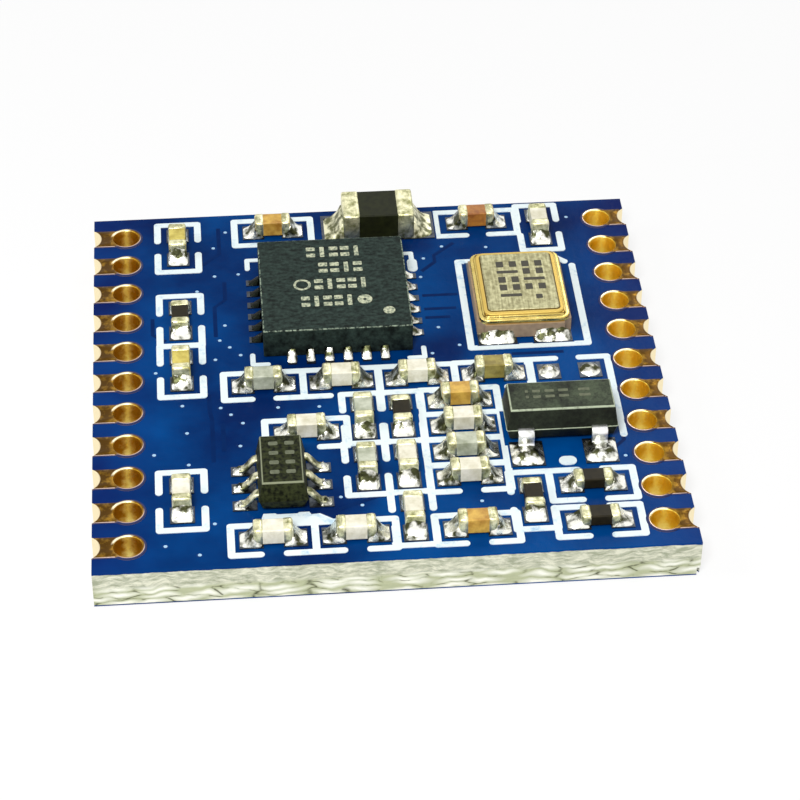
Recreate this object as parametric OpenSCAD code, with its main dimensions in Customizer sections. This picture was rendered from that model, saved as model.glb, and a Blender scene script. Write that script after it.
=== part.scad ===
// Surface-mount radio module: a small blue circuit board with plated half-hole pads along
// both sides, carrying a radio chip, a reference crystal, a transistor, an antenna switch,
// one larger inductor and a field of small capacitors and resistors.
// Frame: millimetres, +Z up, origin on the underside at the middle of the board.
// Places on the board are measured from its left edge and its front edge.

/* [Board] */
// Width of the board from side to side
board_w = 15.1; // [14.6:0.1:18]
// Length of the board from front to back
board_l = 14.5; // [14:0.1:18]
// Thickness of the board
board_t = 1.1; // [0.8:0.1:1.6]
// Thickness of the copper lands and pads
copper_t = 0.03; // [0.02:0.01:0.06]
// Thickness of the printed legend
print_t = 0.02; // [0.01:0.01:0.04]
// Width of a printed line
print_w = 0.19; // [0.12:0.01:0.2]
// Diameter of the dimple over a covered via
via_d = 0.2; // [0.16:0.02:0.34]

/* [Edge pads] */
// Distance between neighbouring pads
pad_pitch = 1.27; // [1.2:0.01:1.3]
// Least distance from a corner of the board to the middle of the first pad
pad_margin = 0.9; // [0.8:0.02:0.98]
// Diameter of the plated hole in each pad
hole_d = 0.72; // [0.5:0.02:0.8]
// Diameter of the ring of copper round the hole
ring_d = 0.94; // [0.9:0.02:1.1]
// Width of the copper neck from the ring to the edge
neck_w = 0.74; // [0.6:0.02:0.86]
// Distance from the left edge to the left holes
left_inset = 0.9; // [0.84:0.01:0.96]
// Distance from the right edge to the right holes
right_inset = 0.8; // [0.78:0.01:0.86]
// Radius of the half hole cut in the edge
notch_r = 0.44; // [0.36:0.01:0.5]
// Depth of the half hole from the edge
notch_depth = 0.2; // [0.12:0.01:0.24]
// Thickness of the plating in the holes
plating_t = 0.03; // [0.02:0.01:0.05]

/* [Chip parts] */
// Length of a small capacitor or resistor
chip_l = 1; // [0.94:0.01:1.06]
// Width of a small capacitor or resistor
chip_w = 0.5; // [0.42:0.01:0.54]
// Height of a small capacitor
cap_h = 0.5; // [0.4:0.01:0.6]
// Height of a small resistor
resistor_h = 0.35; // [0.3:0.01:0.4]
// Length of a plated end
end_l = 0.25; // [0.15:0.01:0.3]
// Thickness of a plated end
end_t = 0.02; // [0.015:0.005:0.03]
// Length of a land under a small part
land_l = 0.6; // [0.5:0.02:0.66]
// Width of a land under a small part
land_w = 0.62; // [0.56:0.02:0.68]
// Distance between the middles of the two lands
land_pitch = 1.1; // [1:0.02:1.14]

/* [Radio chip] */
// Side of the square radio chip
radio_w = 4; // [3.9:0.05:4.1]
// Height of the radio chip
radio_h = 0.85; // [0.7:0.05:1]
// Distance between neighbouring terminals
radio_pitch = 0.5; // [0.44:0.01:0.5]
// Width of a terminal
radio_pin_w = 0.24; // [0.18:0.01:0.28]
// Length of a terminal
radio_pin_l = 0.4; // [0.3:0.02:0.5]
// Height of a terminal at the side of the chip
radio_pin_h = 0.2; // [0.12:0.01:0.25]
// Gap between the terminals and the thermal pad under the chip
thermal_gap = 0.3; // [0.2:0.02:0.5]

/* [Crystal] */
// Width of the ceramic base
crystal_w = 2.55; // [2.3:0.05:2.6]
// Length of the ceramic base
crystal_l = 3.1; // [2.9:0.05:3.2]
// Height of the ceramic base
crystal_base_h = 0.42; // [0.3:0.02:0.6]
// Height of the metal seal ring
crystal_ring_h = 0.2; // [0.1:0.02:0.3]
// Thickness of the metal lid
crystal_lid_h = 0.1; // [0.06:0.02:0.14]

/* [Moulded packs] */
// Share of the height of a moulded pack that lies below its leads
seam_share = 0.38; // [0.36:0.02:0.6]

/* [Transistor] */
// Width of the moulded transistor body
transistor_w = 2.9; // [2.7:0.05:3]
// Depth of the moulded transistor body
transistor_d = 1.3; // [1.2:0.05:1.4]
// Height of the transistor over the board
transistor_h = 1.08; // [0.9:0.02:1.2]
// Distance between the two front leads
transistor_pitch = 1.9; // [1.8:0.05:2]
// Width of a transistor lead
transistor_lead_w = 0.42; // [0.34:0.02:0.48]
// Distance between the tips of opposite leads
transistor_span = 2.45; // [2.3:0.05:2.6]

/* [Antenna switch] */
// Width of the moulded switch body between its rows of leads
switch_w = 1.25; // [1.1:0.05:1.3]
// Length of the moulded switch body
switch_l = 2; // [1.9:0.05:2.1]
// Height of the switch over the board
switch_h = 0.98; // [0.84:0.02:1.04]
// Distance between neighbouring leads
switch_pitch = 0.65; // [0.6:0.01:0.68]
// Width of a switch lead
switch_lead_w = 0.24; // [0.18:0.01:0.28]
// Distance between the tips of opposite leads
switch_span = 2.15; // [2:0.05:2.3]

/* [Power inductor] */
// Length of the inductor
inductor_l = 2; // [1.9:0.05:2.1]
// Depth of the inductor
inductor_w = 1.25; // [1.15:0.05:1.3]
// Height of the inductor
inductor_h = 0.85; // [0.7:0.05:1]
// Length of its plated ends
inductor_end_l = 0.48; // [0.3:0.02:0.55]

/* [Hidden] */
$fn = 32;

// Level of the copper lands, on which every part stands
seat_z = board_t + copper_t;

// As many pads as the side edge holds, shared out evenly, with some slack for rounding
pitch_slack = 0.01;
pad_count = 1 + floor((board_l - 2 * pad_margin) / pad_pitch + pitch_slack);
pad_first = (board_l - (pad_count - 1) * pad_pitch) / 2;

// Size of the board that the places below were measured on. A part keeps its share of the
// room between the rows of pads, and of the length inside the margins.
layout = [15.1, 14.5];
layout_margin = [left_inset + ring_d / 2, 1.2];
function at(spot) = [for (k = [0, 1])
    layout_margin[k] + (spot[k] - layout_margin[k])
        * ([board_w, board_l][k] - 2 * layout_margin[k])
        / (layout[k] - 2 * layout_margin[k])];

// Each small part: distance from the left and front edges, turn, and the reach of its
// printed frame along and across the part
capacitors = [
    [2.35, 13.05, 90, 1.09, 0.565],
    [2.35, 7.62, 90, 1.07, 0.565],
    [2.26, 2.49, 90, 1.08, 0.575],
    [12.58, 13.28, 90, 1.05, 0.55],
    [7.04, 5.34, 90, 0.99, 0.52],
    [6.99, 3.36, 90, 0.99, 0.53],
    [8.03, 3.38, 90, 0.99, 0.52],
    [8.03, 1.42, 90, 0.98, 0.52],
    [5.04, 13.6, 0, 1.08, 0.57],
    [10.83, 13.62, 0, 1.14, 0.56],
    [4.5, 6.85, 0, 1.05, 0.54],
    [6.56, 6.85, 0, 1.01, 0.54],
    [8.57, 6.85, 0, 1.02, 0.54],
    [10.61, 6.87, 0, 1.01, 0.54],
    [9.61, 5.85, 0, 1.01, 0.5],
    [9.6, 4.85, 0, 1.02, 0.5],
    [9.58, 3.83, 0, 1.02, 0.5],
    [9.58, 2.84, 0, 1.02, 0.51],
    [5.53, 4.84, 0, 1.07, 0.55],
    [4.49, 0.91, 0, 1.05, 0.53],
    [6.55, 0.91, 0, 1.01, 0.53],
    [9.58, 0.92, 0, 1.04, 0.52]];
resistors = [
    [2.36, 9.76, 90, 1.09, 0.565],
    [8.04, 5.34, 90, 0.99, 0.52],
    [11.08, 1.86, 90, 1.06, 0.52],
    [12.67, 2.35, 0, 1.08, 0.57],
    [12.66, 0.98, 0, 1.08, 0.54]];
// A pair of lands left without a part
spare = [12.65, 6.86, 0, 1.08, 0.55];
radio_place = [6.56, 10.03];
crystal_place = [11.63, 9.92];
transistor_place = [12.09, 4.66];
switch_place = [4.8, 2.82];
inductor_place = [8.02, 13.62];
// Covered vias, which show as dimples on both faces
vias = [[1.82, 0.87], [2.66, 0.5], [3.06, 1.6], [2.46, 3.86], [1.58, 4.3], [3.8, 4.5],
    [2.44, 5.1], [3.9, 5.4], [3.6, 5.76], [3.34, 6.05], [2.34, 6.2], [1.66, 7.6],
    [3.26, 8.05], [3.94, 8.2], [3.4, 8.86], [3.66, 8.55], [3.56, 9.5], [2.84, 11.05],
    [3.34, 11.7], [4, 11.75], [3.34, 13], [3.7, 13.72], [4.84, 5.96], [5.92, 5.92],
    [9.34, 9], [9.84, 8.2], [9.08, 7.9], [9.76, 12.62], [9.2, 12.1], [9.05, 11.26],
    [11, 12.5], [6.78, 2.02], [6.26, 2.36], [9.8, 1.95], [13.44, 13.75], [13.66, 3.4]];

// Small values that keep pieces whole
lip = 0.02;
cut = 1;

// Puts a piece at a place on the board, at a level, turned about the vertical
module place(spot, z = seat_z) {
    turn = len(spot) > 2 ? spot[2] : 0;
    translate([at(spot)[0] - board_w / 2, at(spot)[1] - board_l / 2, z])
        rotate(turn)
            children();
}

// A rectangle with rounded corners, about its middle
module soft_rect(w, l, r) {
    square([w, l - 2 * r], center = true);
    square([w - 2 * r, l], center = true);
    for (sx = [-1, 1], sy = [-1, 1])
        translate([sx * (w / 2 - r), sy * (l / 2 - r)])
            circle(r);
}

// A bar along X from x0 to x1 with a rounded section, standing on the level z0
module soft_bar(x0, x1, w, h, r, z0 = 0) {
    translate([x0, 0, z0 + h / 2])
        rotate([90, 0, 90])
            linear_extrude(x1 - x0)
                soft_rect(w, h, r);
}

// A concave solder fillet that rises towards -X and runs along Y, f long and f high
module fillet(f, w) {
    translate([0, w / 2, 0])
        rotate([90, 0, 0])
            linear_extrude(w)
                difference() {
                    square(f);
                    translate([f, f])
                        circle(f - lip);
                }
}

// Places of the edge pads: side, distance from the left edge to the hole, and row
function hole_x(side) = side < 0 ? left_inset : board_w - right_inset;
function edge_x(side) = side < 0 ? 0 : board_w;
function notch_x(side) = edge_x(side) + side * (notch_r - notch_depth);
function pad_y(row) = pad_first + row * pad_pitch;

// Outline of one pad with its ring and its neck to the edge
module pad_outline(side, row) {
    translate([hole_x(side), pad_y(row)])
        circle(d = ring_d);
    reach = abs(edge_x(side) - hole_x(side));
    translate([min(edge_x(side), hole_x(side)), pad_y(row) - neck_w / 2])
        square([reach, neck_w]);
}

// The two round holes of one pad, cut to a given allowance beyond the bare hole
module pad_holes(side, row, more) {
    translate([hole_x(side), pad_y(row)])
        circle(d = hole_d + 2 * more);
    translate([notch_x(side), pad_y(row)])
        circle(r = notch_r + more);
}

// The copper of one pad: plates on both faces, the barrel of the hole and the lining
// of the half hole
module edge_pad(side, row) {
    difference() {
        union() {
            for (z = [0, board_t])
                translate([0, 0, z])
                    linear_extrude(copper_t)
                        pad_outline(side, row);
            linear_extrude(seat_z)
                intersection() {
                    pad_holes(side, row, plating_t);
                    pad_outline(side, row);
                }
        }
        translate([0, 0, -cut])
            linear_extrude(board_t + 2 * cut)
                pad_holes(side, row, 0);
    }
}

module edge_pads(side) {
    translate([-board_w / 2, -board_l / 2, 0])
        for (row = [0 : pad_count - 1])
            edge_pad(side, row);
}

// Bare board: drilled, notched, relieved for the lower pads, dimpled at the vias, and
// with the small break at the lower front right corner
nick = 0.12;
dimple_r = 0.3;
module circuit_board() {
    sink = sqrt(dimple_r * dimple_r - via_d * via_d / 4);
    color("#0b4a8f")
        difference() {
            translate([-board_w / 2, -board_l / 2, 0])
                difference() {
                    cube([board_w, board_l, board_t]);
                    for (side = [-1, 1], row = [0 : pad_count - 1]) {
                        translate([0, 0, -cut])
                            linear_extrude(board_t + 2 * cut)
                                intersection() {
                                    pad_holes(side, row, plating_t);
                                    union() {
                                        pad_outline(side, row);
                                        translate([notch_x(side), pad_y(row)])
                                            circle(r = notch_r);
                                    }
                                }
                        translate([0, 0, -cut])
                            linear_extrude(cut + copper_t)
                                pad_outline(side, row);
                    }
                }
            for (spot = vias, z = [-sink, board_t + sink])
                place(spot, z)
                    sphere(dimple_r);
            translate([board_w / 2, -board_l / 2, 0])
                rotate([0, 0, 45])
                    cube([nick, cut, nick * 4], center = true);
        }
}

module left_edge_pads() {
    color("#b8862c")
        edge_pads(-1);
}

module right_edge_pads() {
    color("#b8862c")
        edge_pads(1);
}

// Lands under the small parts and round the larger ones, each grown by an allowance
module land(size, more) {
    square(size + 2 * [more, more], center = true);
}

inductor_land = [0.95, 1.24];
inductor_land_x = 1.12;
crystal_land = [1.05, 0.95];
crystal_land_out = 0.26;
transistor_land = [0.86, 0.95];
transistor_land_out = 0.3;
switch_land = [0.62, 0.36];
switch_land_out = 0.2;
radio_land_out = 0.36;

// Middles of the land of the leads that leave the transistor
function transistor_leads_at() = [
    [-transistor_pitch / 2, -1],
    [transistor_pitch / 2, -1],
    [0, 1]];

module land_plan(more = 0) {
    for (spot = concat(capacitors, resistors, [spare]))
        place(spot, 0)
            for (s = [-1, 1])
                translate([s * land_pitch / 2, 0])
                    land([land_l, land_w], more);
    place(inductor_place, 0)
        for (s = [-1, 1])
            translate([s * inductor_land_x, 0])
                land(inductor_land, more);
    place(crystal_place, 0)
        for (sx = [-1, 1], sy = [-1, 1])
            translate([sx * (crystal_w - crystal_land[0]) / 2,
                sy * ((crystal_l - crystal_land[1]) / 2 + crystal_land_out)])
                land(crystal_land, more);
    place(transistor_place, 0)
        for (lead = transistor_leads_at())
            translate([lead[0], lead[1] *
                ((transistor_span - transistor_land[1]) / 2 + transistor_land_out)])
                land(transistor_land, more);
    place(switch_place, 0)
        for (s = [-1, 1], k = [-1 : 1])
            translate([s * ((switch_span - switch_land[0]) / 2 + switch_land_out),
                k * switch_pitch])
                land(switch_land, more);
    place(radio_place, 0) {
        land([thermal_w, thermal_w], more);
        radio_ring()
            translate([(radio_w - radio_pin_l + radio_land_out) / 2, 0])
                land([radio_pin_l + radio_land_out, radio_pin_w], more);
    }
}

module component_lands() {
    color("#c9c4b4")
        translate([0, 0, board_t])
            linear_extrude(copper_t)
                land_plan();
}

// Repeats a piece that lies on +X at every terminal round the radio chip: as many as fit
// between its corners
radio_corner = 0.12;
radio_room = radio_w - 2 * (radio_pin_l + radio_corner) - radio_pin_w;
radio_pins = 1 + floor(radio_room / radio_pitch);
thermal_w = radio_w - 2 * (radio_pin_l + thermal_gap);
module radio_ring() {
    for (turn = [0 : 90 : 270])
        rotate(turn)
            for (k = [0 : radio_pins - 1])
                translate([0, (k - (radio_pins - 1) / 2) * radio_pitch])
                    children();
}

// Printed lines
module stroke(a, b, w = print_w) {
    run = b - a;
    translate(a)
        rotate(atan2(run[1], run[0])) {
            translate([0, -w / 2])
                square([norm(run), w]);
            circle(d = w);
            translate([norm(run), 0])
                circle(d = w);
        }
}

// Frame round a small part: a bracket at each end, open in the middle of both long sides
frame_gap = 0.66;
module part_frame(spot) {
    translate(at(spot))
        rotate(spot[2])
            for (s = [-1, 1]) {
                stroke([s * spot[3], -spot[4]], [s * spot[3], spot[4]]);
                for (t = [-1, 1])
                    stroke([s * spot[3], t * spot[4]], [s * frame_gap / 2, t * spot[4]]);
            }
}

// Frame round the crystal, open at its back
crystal_frame_out = [0.31, 0.46];
crystal_frame_stub = 0.4;
module crystal_print() {
    left = -crystal_w / 2 - crystal_frame_out[0] + print_w / 2;
    right = crystal_w / 2 + crystal_frame_out[0] + print_w / 2;
    front = -crystal_l / 2 - crystal_frame_out[1] + print_w / 2;
    back = -front;
    translate(at(crystal_place)) {
        stroke([left, front], [right, front]);
        stroke([left, front], [left, back]);
        stroke([left, back], [left + crystal_frame_stub, back]);
        stroke([right, front], [right, back - 2 * print_w]);
        stroke([right - crystal_frame_stub, back], [right - print_w, back - print_w]);
    }
}

// Corner marks and first-terminal mark of the radio chip
radio_mark_out = 0.3;
radio_mark_l = 0.4;
radio_mark_w = 0.14;
radio_first = [0.28, 0.3];
module radio_print() {
    reach = radio_w / 2 + radio_mark_out;
    translate(at(radio_place)) {
        for (sx = [-1, 1], sy = [-1, 1])
            scale([sx, sy]) {
                stroke([reach, reach], [reach - radio_mark_l, reach], radio_mark_w);
                stroke([reach, reach], [reach, reach - radio_mark_l], radio_mark_w);
            }
        stroke([reach, reach - radio_mark_l], [reach, reach - radio_mark_l - radio_first[1]],
            radio_first[0]);
    }
}

// Outline of the transistor at its right side, and its dot
dot_w = 0.34;
dot_run = 0.12;
module transistor_print() {
    out = transistor_w / 2 + print_w;
    front = -transistor_span / 2 - dot_w / 2 + lip;
    translate(at(transistor_place)) {
        stroke([out, print_w - transistor_d / 2], [out, transistor_span / 2 + 2 * print_w]);
        stroke([0, front], [dot_run, front], dot_w);
    }
}

// Filled mark in front of the antenna switch, from the middle of the switch
switch_mark = [[-0.66, -1.46], [-0.5, -0.92], [-0.28, -0.92], [-0.18, -1.02], [0.34, -1.02],
    [0.54, -0.76], [0.68, -1.08], [0.9, -1.06], [1.24, -1.3], [1.24, -1.46]];
module switch_print() {
    translate(at(switch_place))
        polygon(switch_mark);
}

// Where nothing is printed: on copper, between the lands of a part and under the parts
bare_edge = 0.04;
module print_keep_out() {
    more = 2 * bare_edge;
    land_plan(bare_edge);
    for (side = [-1, 1], row = [0 : pad_count - 1])
        translate([hole_x(side) - board_w / 2, pad_y(row) - board_l / 2])
            circle(d = ring_d + bare_edge);
    for (spot = concat(capacitors, resistors, [spare]))
        place(spot, 0)
            square([land_pitch + more, land_w + more], center = true);
    place(inductor_place, 0)
        square([inductor_l + more, inductor_land[1] + more], center = true);
    place(transistor_place, 0)
        square([transistor_w + more, transistor_d + more], center = true);
    place(radio_place, 0)
        square(radio_w + more, center = true);
    place(switch_place, 0)
        square([switch_w + more, switch_l - bare_edge], center = true);
}

module printed_legend() {
    color("#e9f2f2")
        translate([0, 0, board_t])
            linear_extrude(print_t)
                difference() {
                    translate([-board_w / 2, -board_l / 2]) {
                        for (spot = concat(capacitors, resistors, [spare]))
                            part_frame(spot);
                        crystal_print();
                        radio_print();
                        transistor_print();
                        switch_print();
                    }
                    print_keep_out();
                }
}

// Radio chip: a sawn square of moulding compound over inlaid terminals
mark_d = 0.32;
mark_depth = 0.02;
mark_in = [0.58, 0.7];
module radio_terminal(more = 0) {
    translate([radio_w / 2 - radio_pin_l, -radio_pin_w / 2, -more])
        cube([radio_pin_l + more, radio_pin_w, radio_pin_h + more]);
}

module radio_chip_body() {
    color("#2b3a35")
        place(radio_place)
            difference() {
                translate([-radio_w / 2, -radio_w / 2, 0])
                    cube([radio_w, radio_w, radio_h]);
                radio_ring()
                    radio_terminal(cut);
                translate([0, 0, radio_pin_h / 2 - cut])
                    linear_extrude(cut)
                        square(thermal_w, center = true);
                translate([radio_w / 2 - mark_in[0], mark_in[1] - radio_w / 2,
                    radio_h - mark_depth])
                    cylinder(d = mark_d, h = cut);
            }
}

module radio_chip_terminals() {
    color("#b9b6ab")
        place(radio_place)
            radio_ring()
                radio_terminal();
}

module radio_chip_thermal_pad() {
    color("#b9b6ab")
        place(radio_place)
            linear_extrude(radio_pin_h / 2)
                square(thermal_w, center = true);
}

// Solder at the outer end of every terminal
radio_fillet = 0.26;
module radio_chip_solder() {
    color("#e6e8e6")
        place(radio_place)
            radio_ring()
                translate([radio_w / 2, 0])
                    fillet(radio_fillet, radio_pin_w);
}

// Crystal: ceramic base with hollowed corners, gold terminals, seal ring and lid
corner_r = 0.2;
crystal_pad_t = 0.03;
crystal_pad = [0.9, 0.8];
crystal_step = 0.09;
ring_wall = 0.16;
ring_r = 0.32;

module crystal_corners() {
    for (sx = [-1, 1], sy = [-1, 1])
        translate([sx * crystal_w / 2, sy * crystal_l / 2])
            circle(corner_r);
}

module crystal_pad_plan() {
    difference() {
        for (sx = [-1, 1], sy = [-1, 1])
            translate([sx * (crystal_w - crystal_pad[0]) / 2,
                sy * (crystal_l - crystal_pad[1]) / 2])
                square(crystal_pad, center = true);
        crystal_corners();
    }
}

module crystal_base() {
    color("#7d6a66")
        place(crystal_place)
            difference() {
                linear_extrude(crystal_base_h)
                    difference() {
                        square([crystal_w, crystal_l], center = true);
                        crystal_corners();
                    }
                translate([0, 0, crystal_pad_t - cut])
                    linear_extrude(cut)
                        crystal_pad_plan();
            }
}

module crystal_terminals() {
    color("#c79a3b")
        place(crystal_place)
            linear_extrude(crystal_pad_t)
                crystal_pad_plan();
}

// The ring is stepped: a broad foot and a narrower neck that the lid is welded to
module crystal_ring_plan(inset, wall) {
    difference() {
        soft_rect(crystal_w - 2 * inset, crystal_l - 2 * inset, ring_r - inset / 2);
        soft_rect(crystal_w - 2 * (inset + wall), crystal_l - 2 * (inset + wall),
            (ring_r - inset / 2) / 2);
    }
}

module crystal_seal_ring() {
    foot_h = crystal_ring_h * 0.7;
    color("#d9a72e")
        place(crystal_place, seat_z + crystal_base_h) {
            linear_extrude(foot_h)
                crystal_ring_plan(crystal_step / 2, ring_wall + crystal_step);
            translate([0, 0, foot_h])
                linear_extrude(crystal_ring_h - foot_h)
                    crystal_ring_plan(1.5 * crystal_step, ring_wall);
        }
}

module crystal_lid() {
    color("#a9a58c")
        place(crystal_place, seat_z + crystal_base_h + crystal_ring_h) {
            linear_extrude(crystal_lid_h / 2)
                soft_rect(crystal_w - 4 * crystal_step, crystal_l - 4 * crystal_step,
                    ring_r - crystal_step);
            translate([0, 0, crystal_lid_h / 2])
                linear_extrude(crystal_lid_h / 2)
                    soft_rect(crystal_w - 7 * crystal_step, crystal_l - 7 * crystal_step,
                        ring_r - 1.5 * crystal_step);
        }
}

crystal_fillet = 0.22;
module crystal_solder() {
    run = crystal_land[0] - corner_r;
    color("#e6e8e6")
        place(crystal_place)
            for (sx = [-1, 1], sy = [-1, 1])
                translate([sx * (crystal_w / 2 - corner_r - run / 2), sy * crystal_l / 2])
                    rotate(sy * 90)
                        fillet(crystal_fillet, run);
}

// Level at which the leads leave a moulded body that stands h over its land
standoff = 0.06;
function seam(h) = standoff + (h - standoff) * seam_share;

// A moulded body with drafted sides that meet at the level where the leads come out
module moulded_body(w, d, h, draft) {
    z0 = standoff;
    z1 = h;
    mid = seam(h);
    intersection() {
        rotate([90, 0, 0])
            linear_extrude(2 * d, center = true)
                polygon([[-w / 2 + draft, z0], [w / 2 - draft, z0], [w / 2, mid],
                    [w / 2 - draft, z1], [-w / 2 + draft, z1], [-w / 2, mid]]);
        rotate([90, 0, 90])
            linear_extrude(2 * w, center = true)
                polygon([[-d / 2 + draft, z0], [d / 2 - draft, z0], [d / 2, mid],
                    [d / 2 - draft, z1], [-d / 2 + draft, z1], [-d / 2, mid]]);
    }
}

// Points of an arc, from angle a to angle b about a middle
bend_steps = 5;
function arc(mid, r, a, b) = [for (k = [0 : bend_steps])
    mid + r * [cos(a + (b - a) * k / bend_steps), sin(a + (b - a) * k / bend_steps)]];

// Gull-wing lead in the XZ plane, from x0 inside the body out to its tip at x1, leaving
// at the level z and ending flat on the land
module gull_wing(x0, x1, z, t, w, foot) {
    r = t * 0.6;
    knee = x1 - foot - t - r;
    top_bend = [knee - r, z - t / 2 - r];
    low_bend = [knee + t + r, t + r];
    outline = concat(
        [[x0, z - t / 2]],
        arc(top_bend, r, 90, 0),
        arc(low_bend, r + t, 180, 270),
        [[x1, 0]],
        [[x1, t]],
        arc(low_bend, r, 270, 180),
        arc(top_bend, r + t, 0, 90),
        [[x0, z + t / 2]]);
    translate([0, w / 2, 0])
        rotate([90, 0, 0])
            linear_extrude(w)
                polygon(outline);
}

lead_t = 0.12;
lead_hold = 0.2;
transistor_foot = 0.3;
transistor_fillet = 0.22;
transistor_draft = 0.1;
transistor_top = transistor_h - copper_t;
module transistor_lead(lead) {
    translate([lead[0], 0])
        rotate(lead[1] * 90)
            gull_wing(transistor_d / 2 - lead_hold, transistor_span / 2,
                seam(transistor_top), lead_t, transistor_lead_w, transistor_foot);
}

module transistor_body() {
    color("#2a2f2b")
        place(transistor_place)
            difference() {
                moulded_body(transistor_w, transistor_d, transistor_top,
                    transistor_draft);
                for (lead = transistor_leads_at())
                    transistor_lead(lead);
            }
}

module transistor_leads() {
    color("#d5d5ce")
        place(transistor_place)
            for (lead = transistor_leads_at())
                transistor_lead(lead);
}

// Solder at the toe and, lower, beside the foot of a lead
side_fillet = 0.7;
side_run = 0.8;
module lead_solder(tip, w, foot, f) {
    translate([tip, 0])
        fillet(f, w);
    for (s = [-1, 1])
        translate([tip - foot / 2, s * w / 2])
            rotate(s * 90)
                fillet(f * side_fillet, foot * side_run);
}

module transistor_solder() {
    color("#e6e8e6")
        place(transistor_place)
            for (lead = transistor_leads_at())
                translate([lead[0], 0])
                    rotate(lead[1] * 90)
                        lead_solder(transistor_span / 2, transistor_lead_w,
                            transistor_foot, transistor_fillet);
}

switch_foot = 0.2;
switch_fillet = 0.16;
switch_draft = 0.1;
switch_lead_t = 0.1;
switch_top = switch_h - copper_t;
module switch_ring() {
    for (turn = [0, 180], k = [-1 : 1])
        rotate(turn)
            translate([0, k * switch_pitch])
                children();
}

module switch_lead() {
    gull_wing(switch_w / 2 - lead_hold, switch_span / 2, seam(switch_top), switch_lead_t,
        switch_lead_w, switch_foot);
}

module antenna_switch_body() {
    color("#2d2c22")
        place(switch_place)
            difference() {
                moulded_body(switch_w, switch_l, switch_top, switch_draft);
                switch_ring()
                    switch_lead();
            }
}

module antenna_switch_leads() {
    color("#c9cbb8")
        place(switch_place)
            switch_ring()
                switch_lead();
}

module antenna_switch_solder() {
    color("#e6e8e6")
        place(switch_place)
            switch_ring()
                lead_solder(switch_span / 2, switch_lead_w, switch_foot, switch_fillet);
}

// Small parts: a ceramic bar held between two plated ends, which are open cups
edge_r = 0.04;
module chip_body(l, w, h) {
    half = l / 2 - end_t;
    soft_bar(-half, half, w - 2 * end_t, h - 2 * end_t, edge_r, end_t);
}

module chip_ends(l, w, h, reach) {
    for (turn = [0, 180])
        rotate(turn)
            difference() {
                soft_bar(l / 2 - reach, l / 2, w, h, edge_r + end_t);
                chip_body(l, w, h);
            }
}

fillet_f = land_pitch / 2 + land_l / 2 - chip_l / 2 - lip;
module chip_solder(l, w, f) {
    for (turn = [0, 180])
        rotate(turn)
            translate([l / 2, 0])
                fillet(f, w);
}

module capacitor(number, tint) {
    color(tint)
        place(capacitors[number - 1])
            chip_body(chip_l, chip_w, cap_h);
}

module resistor(number) {
    color("#26241f")
        place(resistors[number - 1])
            chip_body(chip_l, chip_w, resistor_h);
}

yellow = "#c9b94a";
cream = "#e9e5cf";
grey = "#b7bca6";
brown = "#a2641f";
orange = "#d9a93c";
olive = "#8f8231";

module capacitor_1() { capacitor(1, yellow); }
module capacitor_2() { capacitor(2, yellow); }
module capacitor_3() { capacitor(3, cream); }
module capacitor_4() { capacitor(4, cream); }
module capacitor_5() { capacitor(5, grey); }
module capacitor_6() { capacitor(6, grey); }
module capacitor_7() { capacitor(7, cream); }
module capacitor_8() { capacitor(8, cream); }
module capacitor_9() { capacitor(9, orange); }
module capacitor_10() { capacitor(10, brown); }
module capacitor_11() { capacitor(11, grey); }
module capacitor_12() { capacitor(12, cream); }
module capacitor_13() { capacitor(13, cream); }
module capacitor_14() { capacitor(14, olive); }
module capacitor_15() { capacitor(15, orange); }
module capacitor_16() { capacitor(16, cream); }
module capacitor_17() { capacitor(17, grey); }
module capacitor_18() { capacitor(18, cream); }
module capacitor_19() { capacitor(19, cream); }
module capacitor_20() { capacitor(20, cream); }
module capacitor_21() { capacitor(21, cream); }
module capacitor_22() { capacitor(22, orange); }
module resistor_1() { resistor(1); }
module resistor_2() { resistor(2); }
module resistor_3() { resistor(3); }
module resistor_4() { resistor(4); }
module resistor_5() { resistor(5); }

module capacitor_ends() {
    color("#d8d8c4")
        for (spot = capacitors)
            place(spot)
                chip_ends(chip_l, chip_w, cap_h, end_l);
}

module resistor_ends() {
    color("#d8d8c4")
        for (spot = resistors)
            place(spot)
                chip_ends(chip_l, chip_w, resistor_h, end_l);
}

module chip_part_solder() {
    color("#e6e8e6")
        for (spot = concat(capacitors, resistors))
            place(spot)
                chip_solder(chip_l, chip_w, min(fillet_f, resistor_h - edge_r - end_t));
}

// Domes of solder on the pair of lands without a part
dome_h = 0.13;
module spare_land_solder() {
    base_r = min(land_l, land_w) / 2 - lip;
    ball_r = (base_r * base_r + dome_h * dome_h) / (2 * dome_h);
    color("#e6e8e6")
        place(spare)
            for (s = [-1, 1])
                translate([s * land_pitch / 2, 0])
                    intersection() {
                        translate([0, 0, dome_h - ball_r])
                            sphere(ball_r);
                        cylinder(r = land_w, h = dome_h + lip);
                    }
}

module inductor_body() {
    color("#2b2722")
        place(inductor_place)
            chip_body(inductor_l, inductor_w, inductor_h);
}

module inductor_ends() {
    color("#cfd0bb")
        place(inductor_place)
            chip_ends(inductor_l, inductor_w, inductor_h, inductor_end_l);
}

module inductor_solder() {
    room = inductor_land_x + inductor_land[0] / 2 - inductor_l / 2 - lip;
    color("#e6e8e6")
        place(inductor_place)
            chip_solder(inductor_l, inductor_land[1] - 2 * lip, room);
}

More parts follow.
